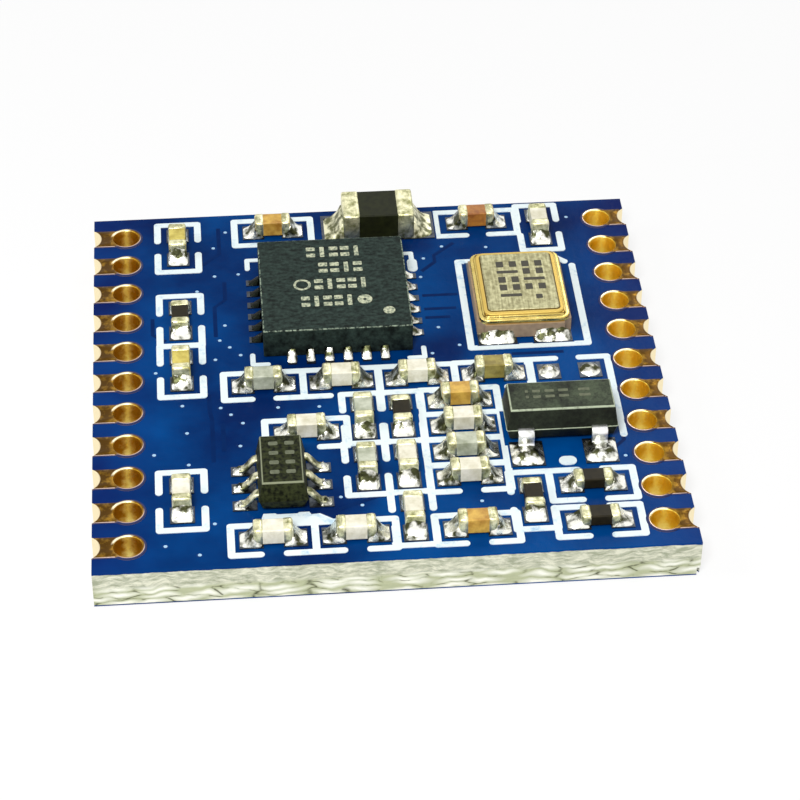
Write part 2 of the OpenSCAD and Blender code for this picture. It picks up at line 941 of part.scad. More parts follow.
circuit_board();
left_edge_pads();
right_edge_pads();
component_lands();
printed_legend();
radio_chip_body();
radio_chip_terminals();
radio_chip_thermal_pad();
radio_chip_solder();
crystal_base();
crystal_seal_ring();
crystal_lid();
crystal_terminals();
crystal_solder();
transistor_body();
transistor_leads();
transistor_solder();
antenna_switch_body();
antenna_switch_leads();
antenna_switch_solder();
inductor_body();
inductor_ends();
inductor_solder();
capacitor_ends();
resistor_ends();
chip_part_solder();
spare_land_solder();
capacitor_1();
capacitor_2();
capacitor_3();
capacitor_4();
capacitor_5();
capacitor_6();
capacitor_7();
capacitor_8();
capacitor_9();
capacitor_10();
capacitor_11();
capacitor_12();
capacitor_13();
capacitor_14();
capacitor_15();
capacitor_16();
capacitor_17();
capacitor_18();
capacitor_19();
capacitor_20();
capacitor_21();
capacitor_22();
resistor_1();
resistor_2();
resistor_3();
resistor_4();
resistor_5();
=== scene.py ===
import math
import random

import bpy
from mathutils import Matrix, Vector, noise


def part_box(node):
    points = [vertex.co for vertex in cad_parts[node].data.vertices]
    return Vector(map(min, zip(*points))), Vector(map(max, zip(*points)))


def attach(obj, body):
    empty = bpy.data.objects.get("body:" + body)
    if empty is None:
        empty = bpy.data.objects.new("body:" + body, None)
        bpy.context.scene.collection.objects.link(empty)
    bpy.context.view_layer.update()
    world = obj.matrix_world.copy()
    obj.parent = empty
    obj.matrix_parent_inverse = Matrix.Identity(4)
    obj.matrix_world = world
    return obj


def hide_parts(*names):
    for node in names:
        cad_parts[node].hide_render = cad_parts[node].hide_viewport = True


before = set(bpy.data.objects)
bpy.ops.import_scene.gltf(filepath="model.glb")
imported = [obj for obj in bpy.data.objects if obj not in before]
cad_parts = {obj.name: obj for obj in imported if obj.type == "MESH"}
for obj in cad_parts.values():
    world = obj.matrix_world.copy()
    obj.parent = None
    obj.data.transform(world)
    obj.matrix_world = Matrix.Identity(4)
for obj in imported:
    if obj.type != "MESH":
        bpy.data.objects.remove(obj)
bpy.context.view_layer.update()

scene = bpy.context.scene
scene.view_settings.view_transform = "Standard"

# ---- The table top and the light tent
# The module lies on a white sheet under soft lamps. It is only 15 mm wide, so the camera
# stands 73 mm off with a long lens. All lengths below are in millimetres.
MM = 0.001


def lin(code):
    """A linear colour from an sRGB hex code."""
    parts = [int(code[k:k + 2], 16) / 255 for k in (1, 3, 5)]
    return [c / 12.92 if c <= 0.04045 else ((c + 0.055) / 1.055) ** 2.4 for c in parts] + [1.0]


def add(tree, kind, links=None, **settings):
    """Adds one node with its settings, and its inputs as values or linked sockets."""
    new = tree.nodes.new(kind)
    for key, value in settings.items():
        setattr(new, key, value)
    for key, value in (links or {}).items():
        if isinstance(value, bpy.types.NodeSocket):
            tree.links.new(value, new.inputs[key])
        else:
            new.inputs[key].default_value = value
    return new


camera = bpy.data.cameras.new("camera")
camera.lens = 121.9
camera.sensor_width = 36
camera.shift_x = -0.0016
camera.clip_start = 0.005
eye = bpy.data.objects.new("camera", camera)
scene.collection.objects.link(eye)
eye.location = Vector((-4.125, -55.424, 47.135)) * MM
eye.rotation_euler = [math.radians(a) for a in (49.750, -0.319, -4.645)]
scene.camera = eye

lamps = {
    # name: place, width, power in watts
    "front_softbox": ((-16, -52, 70), 22, 0.058),
    "left_softbox": ((-70, 0, 60), 30, 0.014),
    "back_softbox": ((30, 60, 60), 30, 0.010),
}
for name, (place, width, power) in lamps.items():
    lamp = bpy.data.lights.new(name, "AREA")
    lamp.size = width * MM
    lamp.energy = power
    stand = bpy.data.objects.new(name, lamp)
    scene.collection.objects.link(stand)
    stand.location = Vector(place) * MM
    stand.rotation_euler = (-Vector(place)).to_track_quat("-Z", "Y").to_euler()

world = bpy.data.worlds.new("light_tent")
scene.world = world
world.use_nodes = True
tree = world.node_tree
tree.nodes.clear()
path = add(tree, "ShaderNodeLightPath").outputs
seen = add(tree, "ShaderNodeMath", {0: path["Is Camera Ray"], 1: path["Is Glossy Ray"]},
           operation="MAXIMUM")
seen = add(tree, "ShaderNodeMath", {0: seen.outputs[0], 1: path["Is Transmission Ray"]},
           operation="MAXIMUM")
strength = add(tree, "ShaderNodeMapRange", {0: seen.outputs[0], 3: 0.36, 4: 1.0})
tent = add(tree, "ShaderNodeBackground", {"Color": lin("#ffffff"), "Strength": strength.outputs[0]})
add(tree, "ShaderNodeOutputWorld", {"Surface": tent.outputs[0]})

# White sheet: it shows white, and keeps a part of the module's shadow.
sheet_side = 400
sheet_white = bpy.data.materials.new("white_card")
sheet_white.use_nodes = True
tree = sheet_white.node_tree
card = tree.nodes["Principled BSDF"]
card.inputs["Base Color"].default_value = lin("#f4f4f4")
card.inputs["Roughness"].default_value = 0.9
path = add(tree, "ShaderNodeLightPath").outputs
seen = add(tree, "ShaderNodeMath", {0: path["Is Camera Ray"], 1: path["Is Glossy Ray"]},
           operation="MAXIMUM")
share = add(tree, "ShaderNodeMath", {0: seen.outputs[0], 1: 0.8}, operation="MULTIPLY")
glow = add(tree, "ShaderNodeEmission", {"Color": lin("#ffffff"), "Strength": 1.0})
both = add(tree, "ShaderNodeMixShader", {0: share.outputs[0], 1: card.outputs[0],
                                         2: glow.outputs[0]})
tree.links.new(both.outputs[0], tree.nodes["Material Output"].inputs["Surface"])
sheet = bpy.data.meshes.new("white_sheet")
half = sheet_side / 2 * MM
sheet.from_pydata([(-half, -half, 0), (half, -half, 0), (half, half, 0), (-half, half, 0)], [],
                  [(0, 1, 2, 3)])
sheet.materials.append(sheet_white)
floor = bpy.data.objects.new("white_sheet", sheet)
floor.location = (0, 0, -0.02 * MM)
scene.collection.objects.link(floor)

# ---- The bare board
# Glass-cloth laminate 1.1 mm thick, routed to size, with a glossy blue solder mask on both
# faces. The cut edge shows pale resin with the ends and sides of the glass bundles.
board_t = 1.1
seat_z = 1.13


def surface(name):
    """A new material: its tree, its shader and the Object coordinates in millimetres."""
    made = bpy.data.materials.new(name)
    made.use_nodes = True
    made_tree = made.node_tree
    place = add(made_tree, "ShaderNodeTexCoord").outputs["Object"]
    scaled = add(made_tree, "ShaderNodeVectorMath", {0: place, "Scale": 1000.0},
                 operation="SCALE")
    return made, made_tree, made_tree.nodes["Principled BSDF"], scaled.outputs["Vector"]


def dress(nodes, material):
    """Gives CAD nodes a finish."""
    for one in nodes:
        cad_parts[one].data.materials.clear()
        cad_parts[one].data.materials.append(material)


# Blue mask: ink with a slow drift from navy to a lighter blue, and a fine orange-peel gloss.
# Laminate: matt; lens-shaped ends of glass bundles 1.1 mm long and 0.2 mm high low down, with
# some dark slits between them, and fine streaks along the edge in the resin above.
board, tree, shader, mm = surface("blue_solder_mask_on_glass_laminate")
axis = add(tree, "ShaderNodeSeparateXYZ", {0: mm}).outputs
drift = add(tree, "ShaderNodeTexNoise", {"Vector": mm, "Scale": 0.33, "Detail": 4.0})
slope = add(tree, "ShaderNodeMapRange", {0: axis["Y"], 1: -7.25, 2: 7.25, 3: 0.05, 4: -0.05})
drift = add(tree, "ShaderNodeMath", {0: drift.outputs["Fac"], 1: slope.outputs[0]})
drift = add(tree, "ShaderNodeMapRange", {0: drift.outputs[0], 1: 0.36, 2: 0.66})
blue = add(tree, "ShaderNodeMix", {0: drift.outputs[0], 6: lin("#002056"), 7: lin("#004487")},
           data_type="RGBA")
violet = add(tree, "ShaderNodeMath", {0: axis["X"]}, operation="ABSOLUTE")
violet = add(tree, "ShaderNodeMapRange", {0: violet.outputs[0], 1: 5.7, 2: 7.3, 4: 0.4})
blue = add(tree, "ShaderNodeMix", {0: violet.outputs[0], 6: blue.outputs[2],
                                   7: lin("#101660")}, data_type="RGBA")
# Painted highlight: a thin band low in each tented via dimple is painted pale blue, as a glint of
# light.
cover = add(tree, "ShaderNodeMath", {0: axis["Z"], 1: 1.083, 2: 0.004}, operation="COMPARE")
inner = add(tree, "ShaderNodeMath", {0: axis["Y"], 1: -7.2}, operation="GREATER_THAN")
cover = add(tree, "ShaderNodeMath", {0: cover.outputs[0], 1: inner.outputs[0]},
            operation="MULTIPLY")
blue = add(tree, "ShaderNodeMix", {0: cover.outputs[0], 6: blue.outputs[2],
                                   7: lin("#a9cbe6")}, data_type="RGBA")
along = add(tree, "ShaderNodeMath", {0: axis["X"], 1: axis["Y"]})
cloth = add(tree, "ShaderNodeCombineXYZ", {0: along.outputs[0], 1: axis["Z"]})
warp = add(tree, "ShaderNodeTexNoise", {"Vector": mm, "Scale": 1.1, "Detail": 2.0})
warp = add(tree, "ShaderNodeMapRange", {0: warp.outputs["Fac"], 3: -0.25, 4: 0.25})
cloth = add(tree, "ShaderNodeVectorMath", {0: cloth.outputs[0], 1: warp.outputs[0]})
lens = add(tree, "ShaderNodeVectorMath", {0: cloth.outputs[0], 1: (0.95, 5.2, 1.0)},
           operation="MULTIPLY")
bundle = add(tree, "ShaderNodeTexVoronoi", {"Vector": lens.outputs[0], "Scale": 1.0,
                                            "Randomness": 0.7}, voronoi_dimensions="2D")
rim = add(tree, "ShaderNodeTexVoronoi", {"Vector": lens.outputs[0], "Scale": 1.0,
                                         "Randomness": 0.7}, voronoi_dimensions="2D",
          feature="DISTANCE_TO_EDGE")
rim = add(tree, "ShaderNodeMapRange", {0: rim.outputs["Distance"], 1: 0.09, 2: 0.0})
bright = add(tree, "ShaderNodeMapRange", {0: bundle.outputs["Distance"], 1: 0.55, 2: 0.1})
glass = add(tree, "ShaderNodeMix", {0: bright.outputs[0], 6: lin("#bdc2a2"),
                                    7: lin("#fdfdf4")}, data_type="RGBA")
stretch = add(tree, "ShaderNodeVectorMath", {0: cloth.outputs[0], 1: (2.4, 9.0, 1.0)},
              operation="MULTIPLY")
streak = add(tree, "ShaderNodeTexNoise", {"Vector": stretch.outputs[0], "Scale": 1.0,
                                          "Detail": 6.0, "Roughness": 0.7})
tone = add(tree, "ShaderNodeMapRange", {0: streak.outputs["Fac"], 1: 0.4, 2: 0.6})
resin = add(tree, "ShaderNodeMix", {0: tone.outputs[0], 6: lin("#a0a58e"), 7: lin("#dcdcc8")},
            data_type="RGBA")
torn = add(tree, "ShaderNodeTexNoise", {"Vector": cloth.outputs[0], "Scale": 2.6, "Detail": 3.0})
torn = add(tree, "ShaderNodeMapRange", {0: torn.outputs["Fac"], 1: 0.48, 2: 0.6})
slit = add(tree, "ShaderNodeMath", {0: torn.outputs[0], 1: rim.outputs[0]},
           operation="MULTIPLY")
glass = add(tree, "ShaderNodeMix", {0: slit.outputs[0], 6: glass.outputs[2],
                                    7: lin("#4a4d35")}, data_type="RGBA")
glass = add(tree, "ShaderNodeMix", {0: 0.22, 6: glass.outputs[2], 7: resin.outputs[2]},
            data_type="RGBA", blend_type="MULTIPLY")
low_ply = add(tree, "ShaderNodeMapRange", {0: axis["Z"], 1: 0.62, 2: 0.5})
resin = add(tree, "ShaderNodeMix", {0: low_ply.outputs[0], 6: resin.outputs[2],
                                    7: glass.outputs[2]}, data_type="RGBA")
rag = add(tree, "ShaderNodeTexNoise", {"Vector": mm, "Scale": 3.5, "Detail": 3.0})
rag = add(tree, "ShaderNodeMapRange", {0: rag.outputs["Fac"], 3: -0.04, 4: 0.04})
height = add(tree, "ShaderNodeMath", {0: axis["Z"], 1: rag.outputs[0]})
above = add(tree, "ShaderNodeMapRange", {0: height.outputs[0], 1: 1.035, 2: 1.05})
below = add(tree, "ShaderNodeMapRange", {0: axis["Z"], 1: 0.045, 2: 0.03})
inked = add(tree, "ShaderNodeMath", {0: above.outputs[0], 1: below.outputs[0]},
            operation="MAXIMUM")
skin = add(tree, "ShaderNodeMix", {0: inked.outputs[0], 6: resin.outputs[2],
                                   7: blue.outputs[2]}, data_type="RGBA")
gloss = add(tree, "ShaderNodeMapRange", {0: inked.outputs[0], 3: 0.8, 4: 0.26})
peel = add(tree, "ShaderNodeTexNoise", {"Vector": mm, "Scale": 5.0, "Detail": 3.0})
lumps = add(tree, "ShaderNodeMix", {0: inked.outputs[0], 2: streak.outputs["Fac"],
                                    3: peel.outputs["Fac"]})
bump = add(tree, "ShaderNodeBump", {"Height": lumps.outputs[0], "Strength": 0.35,
                                    "Distance": 0.00003})
for socket, link in (("Base Color", skin.outputs[2]), ("Roughness", gloss.outputs[0]),
                     ("Normal", bump.outputs[0])):
    tree.links.new(link, shader.inputs[socket])
shader.inputs["Specular IOR Level"].default_value = 0.03
dress(["circuit_board"], board)

# ---- Edge pads
# Each pad is a copper ring and neck with a plated hole and a plated half hole, gilded over
# nickel. The layout repeats every 1.27 mm, so one pad is made and set out along the side.
pad_pitch = 1.27
pad_count = 11
first_pad_y = 0.9 - 14.5 / 2
hole_r = 0.36
ring_r = 0.47
neck_half = 0.37
notch_r = 0.44
notch_out = 0.24
copper_t = 0.03


def piece(name, mesh, material, nodes, angle=50):
    """A finished piece in millimetres: it rides on the board and stands for CAD nodes."""
    made = bpy.data.objects.new(name, mesh)
    scene.collection.objects.link(made)
    mesh.materials.clear()
    mesh.materials.append(material)
    mesh.shade_smooth()
    mesh.set_sharp_from_angle(angle=math.radians(angle))
    mesh.transform(Matrix.Scale(MM, 4))
    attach(made, "root")
    if nodes:
        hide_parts(*nodes)
    return made


def shape(name, verts, faces):
    mesh = bpy.data.meshes.new(name)
    mesh.from_pydata(verts, [], faces)
    mesh.validate()
    return mesh


def grown(name, tree, start, sizes):
    """What a node tree grows from a start mesh, as a plain mesh."""
    holder = bpy.data.objects.new(name, start)
    scene.collection.objects.link(holder)
    grow = holder.modifiers.new("grow", "NODES")
    grow.node_group = tree
    for item in tree.interface.items_tree:
        if item.in_out == "INPUT" and item.name in sizes:
            grow[item.identifier] = sizes[item.name]
    bpy.context.view_layer.update()
    seen_now = holder.evaluated_get(bpy.context.evaluated_depsgraph_get())
    mesh = bpy.data.meshes.new_from_object(seen_now)
    bpy.data.objects.remove(holder)
    return mesh


def pad_reach(angle, inset):
    """How far the copper runs from the middle of the hole, towards an angle."""
    c, s = math.cos(angle), math.sin(angle)
    if c >= 0:
        return ring_r
    out = min(inset / -c, neck_half / max(abs(s), 1e-6))
    middle = -(inset + notch_out)
    b = c * middle
    inside = b * b - (middle * middle - notch_r * notch_r)
    if inside > 0:
        out = min(out, b - math.sqrt(inside))
    return max(ring_r, out)


def pad_mesh(name, inset, side):
    """One pad about the middle of its hole, its neck towards -X, or +X where side is -1."""
    steps = 72
    rows = []
    for k in range(steps):
        a = 2 * math.pi * (k + 0.5) / steps
        r = pad_reach(a, inset)
        wall = hole_r + copper_t
        profile = [(hole_r, 0), (hole_r, seat_z - 0.03), (hole_r + 0.008, seat_z - 0.01),
                   (hole_r + 0.03, seat_z), (r - 0.03, seat_z), (r - 0.008, seat_z - 0.008),
                   (r, board_t), (wall, board_t), (wall, copper_t), (r, copper_t), (r, 0)]
        rows.append([(side * q * math.cos(a), q * math.sin(a), z) for q, z in profile])
    n = len(rows[0])
    verts = [v for row in rows for v in row]
    faces = []
    for k in range(steps):
        j = (k + 1) % steps
        for i in range(n):
            m = (i + 1) % n
            faces.append((k * n + i, k * n + m, j * n + m, j * n + i))
    # lining of the half hole
    spread = math.acos(notch_out / notch_r)
    arcs = 16
    base = len(verts)
    for k in range(arcs + 1):
        a = spread * (2 * k / arcs - 1)
        for q, z in ((notch_r, 0), (notch_r, seat_z - 0.01), (notch_r + 0.01, seat_z),
                     (notch_r + copper_t, board_t), (notch_r + copper_t, 0)):
            x = q * math.cos(a) - inset - notch_out
            verts.append((side * x, q * math.sin(a), z))
    for k in range(arcs):
        for i in range(5):
            p, q = base + k * 5 + i, base + k * 5 + (i + 1) % 5
            faces.append((p, q, q + 5, p + 5))
    faces.append(tuple(base + i for i in reversed(range(5))))
    faces.append(tuple(base + arcs * 5 + i for i in range(5)))
    if side < 0:
        faces = [tuple(reversed(f)) for f in faces]
    mesh = shape(name, verts, faces)
    for name, middle in (("pad_plan", 0), ("notch_plan", side * (inset + notch_out))):
        layer = mesh.uv_layers.new(name=name)
        for loop in mesh.loops:
            x, y, _ = mesh.vertices[loop.vertex_index].co
            layer.data[loop.index].uv = (x + middle, y)
    return mesh


row_tree = bpy.data.node_groups.new("row_of_pads", "GeometryNodeTree")
for kind, label, direction in (("NodeSocketGeometry", "Geometry", "INPUT"),
                               ("NodeSocketObject", "Pad", "INPUT"),
                               ("NodeSocketInt", "Count", "INPUT"),
                               ("NodeSocketFloat", "Pitch", "INPUT"),
                               ("NodeSocketVector", "First", "INPUT"),
                               ("NodeSocketMaterial", "Finish", "INPUT"),
                               ("NodeSocketGeometry", "Geometry", "OUTPUT")):
    row_tree.interface.new_socket(name=label, in_out=direction, socket_type=kind)
given = add(row_tree, "NodeGroupInput").outputs
step = add(row_tree, "ShaderNodeCombineXYZ", {1: given["Pitch"]})
line = add(row_tree, "GeometryNodeMeshLine", {"Count": given["Count"],
                                              "Start Location": given["First"],
                                              "Offset": step.outputs[0]})
pattern = add(row_tree, "GeometryNodeObjectInfo", {"Object": given["Pad"]})
copies = add(row_tree, "GeometryNodeInstanceOnPoints", {
    "Points": line.outputs[0], "Instance": pattern.outputs["Geometry"]})
real = add(row_tree, "GeometryNodeRealizeInstances", {0: copies.outputs[0]})
dressed = add(row_tree, "GeometryNodeSetMaterial", {"Geometry": real.outputs[0],
                                                    "Material": given["Finish"]})
add(row_tree, "NodeGroupOutput", {0: dressed.outputs[0]})

# Gilded copper: warm and half polished; the necks are painted browner in mottled patches, stains
# with a painted dark reflection, and the far side of each ring carries a painted highlight, a pale
# crescent over a skin of tin.
gold, tree, shader, mm = surface("gilded_copper")
axis = add(tree, "ShaderNodeSeparateXYZ", {0: mm}).outputs
plan = add(tree, "ShaderNodeUVMap", uv_map="pad_plan").outputs[0]
radius = add(tree, "ShaderNodeVectorMath", {0: plan}, operation="LENGTH").outputs["Value"]
lean = add(tree, "ShaderNodeVectorMath", {0: plan, 1: (-0.9, 1.8, 0.0)},
           operation="DOT_PRODUCT").outputs["Value"]
blot = add(tree, "ShaderNodeTexNoise", {"Vector": mm, "Scale": 5.0, "Detail": 5.0,
                                        "Roughness": 0.6})
# Painted dark reflection with stains: towards the neck the copper is painted browner in mottled
# patches.
neck = add(tree, "ShaderNodeMapRange", {0: radius, 1: 0.38, 2: 0.5, 3: 0.75})
stain_and_dark_reflection = add(tree, "ShaderNodeMath", {0: neck.outputs[0], 1: blot.outputs["Fac"]},
            operation="MULTIPLY")
stain_and_dark_reflection = add(tree, "ShaderNodeMapRange", {0: stain_and_dark_reflection.outputs[0], 1: 0.1, 2: 0.5})
metal = add(tree, "ShaderNodeMix", {0: stain_and_dark_reflection.outputs[0], 6: lin("#c99a38"),
                                    7: lin("#573c12")}, data_type="RGBA")
# Painted highlight: a pale crescent on top of the far side of each ring, over a skin of tin.
tinned = add(tree, "ShaderNodeMapRange", {0: lean, 1: 0.5, 2: 0.7})
on_top = add(tree, "ShaderNodeMapRange", {0: axis["Z"], 1: 1.08, 2: 1.11})
tinned = add(tree, "ShaderNodeMath", {0: tinned.outputs[0], 1: on_top.outputs[0]},
             operation="MULTIPLY")
ring_only = add(tree, "ShaderNodeMapRange", {0: radius, 1: 0.445, 2: 0.41})
tinned = add(tree, "ShaderNodeMath", {0: tinned.outputs[0], 1: ring_only.outputs[0]},
             operation="MULTIPLY")
metal = add(tree, "ShaderNodeMix", {0: tinned.outputs[0], 6: metal.outputs[2],
                                    7: lin("#fff3cf")}, data_type="RGBA")
flat = add(tree, "ShaderNodeSeparateXYZ", {0: plan}).outputs
# Painted highlight: a pale line along the front edge of each neck and round the front of each ring,
# as light on the copper's edge.
beyond = add(tree, "ShaderNodeMapRange", {0: radius, 1: 0.472, 2: 0.484})
neck_line = add(tree, "ShaderNodeMapRange", {0: flat["Y"], 1: -0.34, 2: -0.352})
ring_line = add(tree, "ShaderNodeMapRange", {0: radius, 1: 0.39, 2: 0.402})
in_front = add(tree, "ShaderNodeMapRange", {0: flat["Y"], 1: 0.12, 2: -0.1})
ring_line = add(tree, "ShaderNodeMath", {0: ring_line.outputs[0], 1: in_front.outputs[0]},
                operation="MULTIPLY")
notch = add(tree, "ShaderNodeUVMap", uv_map="notch_plan").outputs[0]
deep = add(tree, "ShaderNodeVectorMath", {0: notch}, operation="LENGTH").outputs["Value"]
far_side = add(tree, "ShaderNodeMapRange", {0: deep, 1: 0.9, 2: 1.08})
ring_line = add(tree, "ShaderNodeMath", {0: ring_line.outputs[0], 1: far_side.outputs[0]},
                operation="MULTIPLY")
edge_highlight = add(tree, "ShaderNodeMix", {0: beyond.outputs[0], 2: ring_line.outputs[0],
                                     3: neck_line.outputs[0]})
edge_highlight = add(tree, "ShaderNodeMath", {0: edge_highlight.outputs[0], 1: on_top.outputs[0]},
             operation="MULTIPLY")
metal = add(tree, "ShaderNodeMix", {0: edge_highlight.outputs[0], 6: metal.outputs[2],
                                    7: lin("#f0d2bc")}, data_type="RGBA")
off_axis = add(tree, "ShaderNodeMath", {0: flat["Y"]}, operation="ABSOLUTE")
in_neck = add(tree, "ShaderNodeMapRange", {0: off_axis.outputs[0], 1: 0.365, 2: 0.352})
near = add(tree, "ShaderNodeMapRange", {0: deep, 1: 1.0, 2: 0.9})
in_neck = add(tree, "ShaderNodeMath", {0: in_neck.outputs[0], 1: near.outputs[0]},
              operation="MULTIPLY")
creep = add(tree, "ShaderNodeMapRange", {0: radius, 1: 0.408, 2: 0.42})
creep = add(tree, "ShaderNodeMath", {0: creep.outputs[0], 1: on_top.outputs[0]},
            operation="MULTIPLY")
creep = add(tree, "ShaderNodeMath", {0: creep.outputs[0], 1: in_neck.outputs[0]},
            operation="SUBTRACT", use_clamp=True)
metal = add(tree, "ShaderNodeMix", {0: creep.outputs[0], 6: metal.outputs[2],
                                    7: lin("#06164c")}, data_type="RGBA")
# Painted light and shade on the hole walls: a pale highlight band down the middle of the far wall,
# darker towards its sides, and the walls of the right-hand row painted lighter than those of the
# left.
barrel = add(tree, "ShaderNodeMapRange", {0: radius, 1: 0.375, 2: 0.362})
grain = add(tree, "ShaderNodeMapRange", {0: blot.outputs["Fac"], 3: -0.25, 4: 0.25})
away = add(tree, "ShaderNodeMath", {0: flat["X"], 1: grain.outputs[0]})
away = add(tree, "ShaderNodeMath", {0: away.outputs[0]}, operation="ABSOLUTE")
away = add(tree, "ShaderNodeMapRange", {0: away.outputs[0], 1: 0.02, 2: 0.2})
row = add(tree, "ShaderNodeMapRange", {0: axis["X"], 1: -7.5, 2: 7.5})
dim = add(tree, "ShaderNodeMix", {0: row.outputs[0], 6: lin("#c49a2c"),
                                  7: lin("#f0d25c")}, data_type="RGBA")
wall = add(tree, "ShaderNodeMix", {0: away.outputs[0], 6: lin("#fff3a6"),
                                   7: dim.outputs[2]}, data_type="RGBA")
metal = add(tree, "ShaderNodeMix", {0: barrel.outputs[0], 6: metal.outputs[2],
                                    7: wall.outputs[2]}, data_type="RGBA")
# Painted light and shade on the half-hole lining: brown at its front, pale cream at its back.
lining = add(tree, "ShaderNodeMapRange", {0: deep, 1: 0.46, 2: 0.443})
back_half = add(tree, "ShaderNodeSeparateXYZ", {0: notch}).outputs["Y"]
back_half = add(tree, "ShaderNodeMapRange", {0: back_half, 1: -0.3, 2: 0.2})
lit_and_shaded_lining = add(tree, "ShaderNodeMix", {0: back_half.outputs[0], 6: lin("#b08236"),
                                    7: lin("#f9eac2")}, data_type="RGBA")
metal = add(tree, "ShaderNodeMix", {0: lining.outputs[0], 6: metal.outputs[2],
                                    7: lit_and_shaded_lining.outputs[2]}, data_type="RGBA")
rough = add(tree, "ShaderNodeMapRange", {0: blot.outputs["Fac"], 3: 0.22, 4: 0.5})
bump = add(tree, "ShaderNodeBump", {"Height": blot.outputs["Fac"], "Strength": 0.4,
                                    "Distance": 0.00002})
rough = add(tree, "ShaderNodeMix", {0: creep.outputs[0], 2: rough.outputs[0], 3: 0.6})
bare = add(tree, "ShaderNodeMath", {0: 1.0, 1: creep.outputs[0]}, operation="SUBTRACT")
for socket, link in (("Base Color", metal.outputs[2]), ("Roughness", rough.outputs[0]),
                     ("Normal", bump.outputs[0]), ("Metallic", bare.outputs[0])):
    tree.links.new(link, shader.inputs[socket])

for side, inset, node_name in ((-1, 0.9, "left_edge_pads"), (1, 0.8, "right_edge_pads")):
    template = bpy.data.objects.new("one_pad", pad_mesh("one_pad", inset, -side))
    scene.collection.objects.link(template)
    first = (side * (15.1 / 2 - inset), first_pad_y, 0)
    rows = grown(node_name, row_tree, bpy.data.meshes.new("start"), {
        "Pad": template, "Count": pad_count, "Pitch": pad_pitch, "First": first,
        "Finish": gold})
    bpy.data.objects.remove(template)
    piece("gilded_" + node_name, rows, gold, [node_name])

# ---- Gaps between the copper fills
# Under the mask most of the face is copper. Where narrow gaps part the copper the ink lies
# on bare laminate and reads darker. The paths run from the board's front left corner.


def ribbon(track, w, h):
    """A flat strip along a track of points in the plan."""
    verts, faces = [], []
    for k, point in enumerate(track):
        a, b = Vector(track[max(k - 1, 0)]), Vector(track[min(k + 1, len(track) - 1)])
        d = (b - a).normalized() * w / 2
        for sign, z in ((1, 0), (-1, 0), (-1, h), (1, h)):
            verts.append((point[0] - sign * d.y, point[1] + sign * d.x, z))
    for k in range(len(track) - 1):
        for i in range(4):
            j = (i + 1) % 4
            faces.append((k * 4 + i, k * 4 + 4 + i, k * 4 + 4 + j, k * 4 + j))
    last = len(track) * 4 - 4
    return verts, faces + [(0, 1, 2, 3), (last + 3, last + 2, last + 1, last)]


gaps = (
    ((3.1, 3.9), (3.1, 5.6), (3.05, 5.9), (3.05, 6.6)), ((3.38, 4.3), (3.38, 5.4)),
    ((1.95, 8.9), (1.6, 9.2), (1.6, 9.9)), ((3.3, 9.0), (3.3, 10.3), (3.6, 10.6), (3.6, 11.4)),
    ((9.02, 10.4), (10.0, 10.4)), ((9.02, 9.8), (9.9, 9.8)), ((9.02, 9.42), (9.7, 9.42)),
    ((9.1, 11.5), (9.5, 11.9), (9.5, 12.2), (10.1, 12.75)), ((3.0, 12.2), (3.5, 12.7), (3.5, 13.9)),
    ((7.5, 2.3), (7.2, 2.3), (6.2, 1.9)),
    ((11.2, 7.7), (12.6, 7.7)), ((13.4, 3.7), (13.7, 4.0), (13.7, 5.4)))
thin_ink, tree, shader, mm = surface("blue_mask_over_bare_laminate")
drift = add(tree, "ShaderNodeTexNoise", {"Vector": mm, "Scale": 2.0, "Detail": 3.0})
blue = add(tree, "ShaderNodeMix", {0: drift.outputs["Fac"], 6: lin("#001647"),
                                   7: lin("#002d66")}, data_type="RGBA")
tree.links.new(blue.outputs[2], shader.inputs["Base Color"])
shader.inputs["Roughness"].default_value = 0.3
shader.inputs["Specular IOR Level"].default_value = 0.03
store = ([], [])
for track in gaps:
    verts, faces = ribbon(track, 0.11, 0.003)
    start = len(store[0])
    store[0].extend((x - 15.1 / 2, y - 14.5 / 2, z + board_t) for x, y, z in verts)
    store[1].extend(tuple(start + i for i in f) for f in faces)
piece("copper_gaps", shape("copper_gaps", *store), thin_ink, [])

# ---- Lands and printed legend
# Copper lands tinned in the solder bath, slightly grained and painted dark grey as the shade round
# the joints, and the white legend screen-printed over the mask: thick ink with a faint blue edge.
tin, tree, shader, mm = surface("tinned_copper_land_painted_dark")
blot = add(tree, "ShaderNodeTexNoise", {"Vector": mm, "Scale": 6.0, "Detail": 5.0})
# Painted shade: the grey of the lands is kept dark, so that they read as the shade round each
# joint.
grey = add(tree, "ShaderNodeMix", {0: blot.outputs["Fac"], 6: lin("#1f242c"),
                                   7: lin("#6a6f76")}, data_type="RGBA")
bump = add(tree, "ShaderNodeBump", {"Height": blot.outputs["Fac"], "Strength": 0.6,
                                    "Distance": 0.00003})
tree.links.new(grey.outputs[2], shader.inputs["Base Color"])
tree.links.new(bump.outputs[0], shader.inputs["Normal"])
shader.inputs["Metallic"].default_value = 1.0
shader.inputs["Roughness"].default_value = 0.38
dress(["component_lands"], tin)

ink, tree, shader, mm = surface("white_legend_ink")
blot = add(tree, "ShaderNodeTexNoise", {"Vector": mm, "Scale": 3.0, "Detail": 6.0,
                                        "Roughness": 0.7})
thin = add(tree, "ShaderNodeMapRange", {0: blot.outputs["Fac"], 1: 0.24, 2: 0.45})
white = add(tree, "ShaderNodeMix", {0: thin.outputs[0], 6: lin("#9cc2dc"),
                                    7: lin("#e6f2f4")}, data_type="RGBA")
bump = add(tree, "ShaderNodeBump", {"Height": blot.outputs["Fac"], "Strength": 0.4,
                                    "Distance": 0.00002})
tree.links.new(white.outputs[2], shader.inputs["Base Color"])
tree.links.new(bump.outputs[0], shader.inputs["Normal"])
shader.inputs["Roughness"].default_value = 0.55
dress(["printed_legend"], ink)

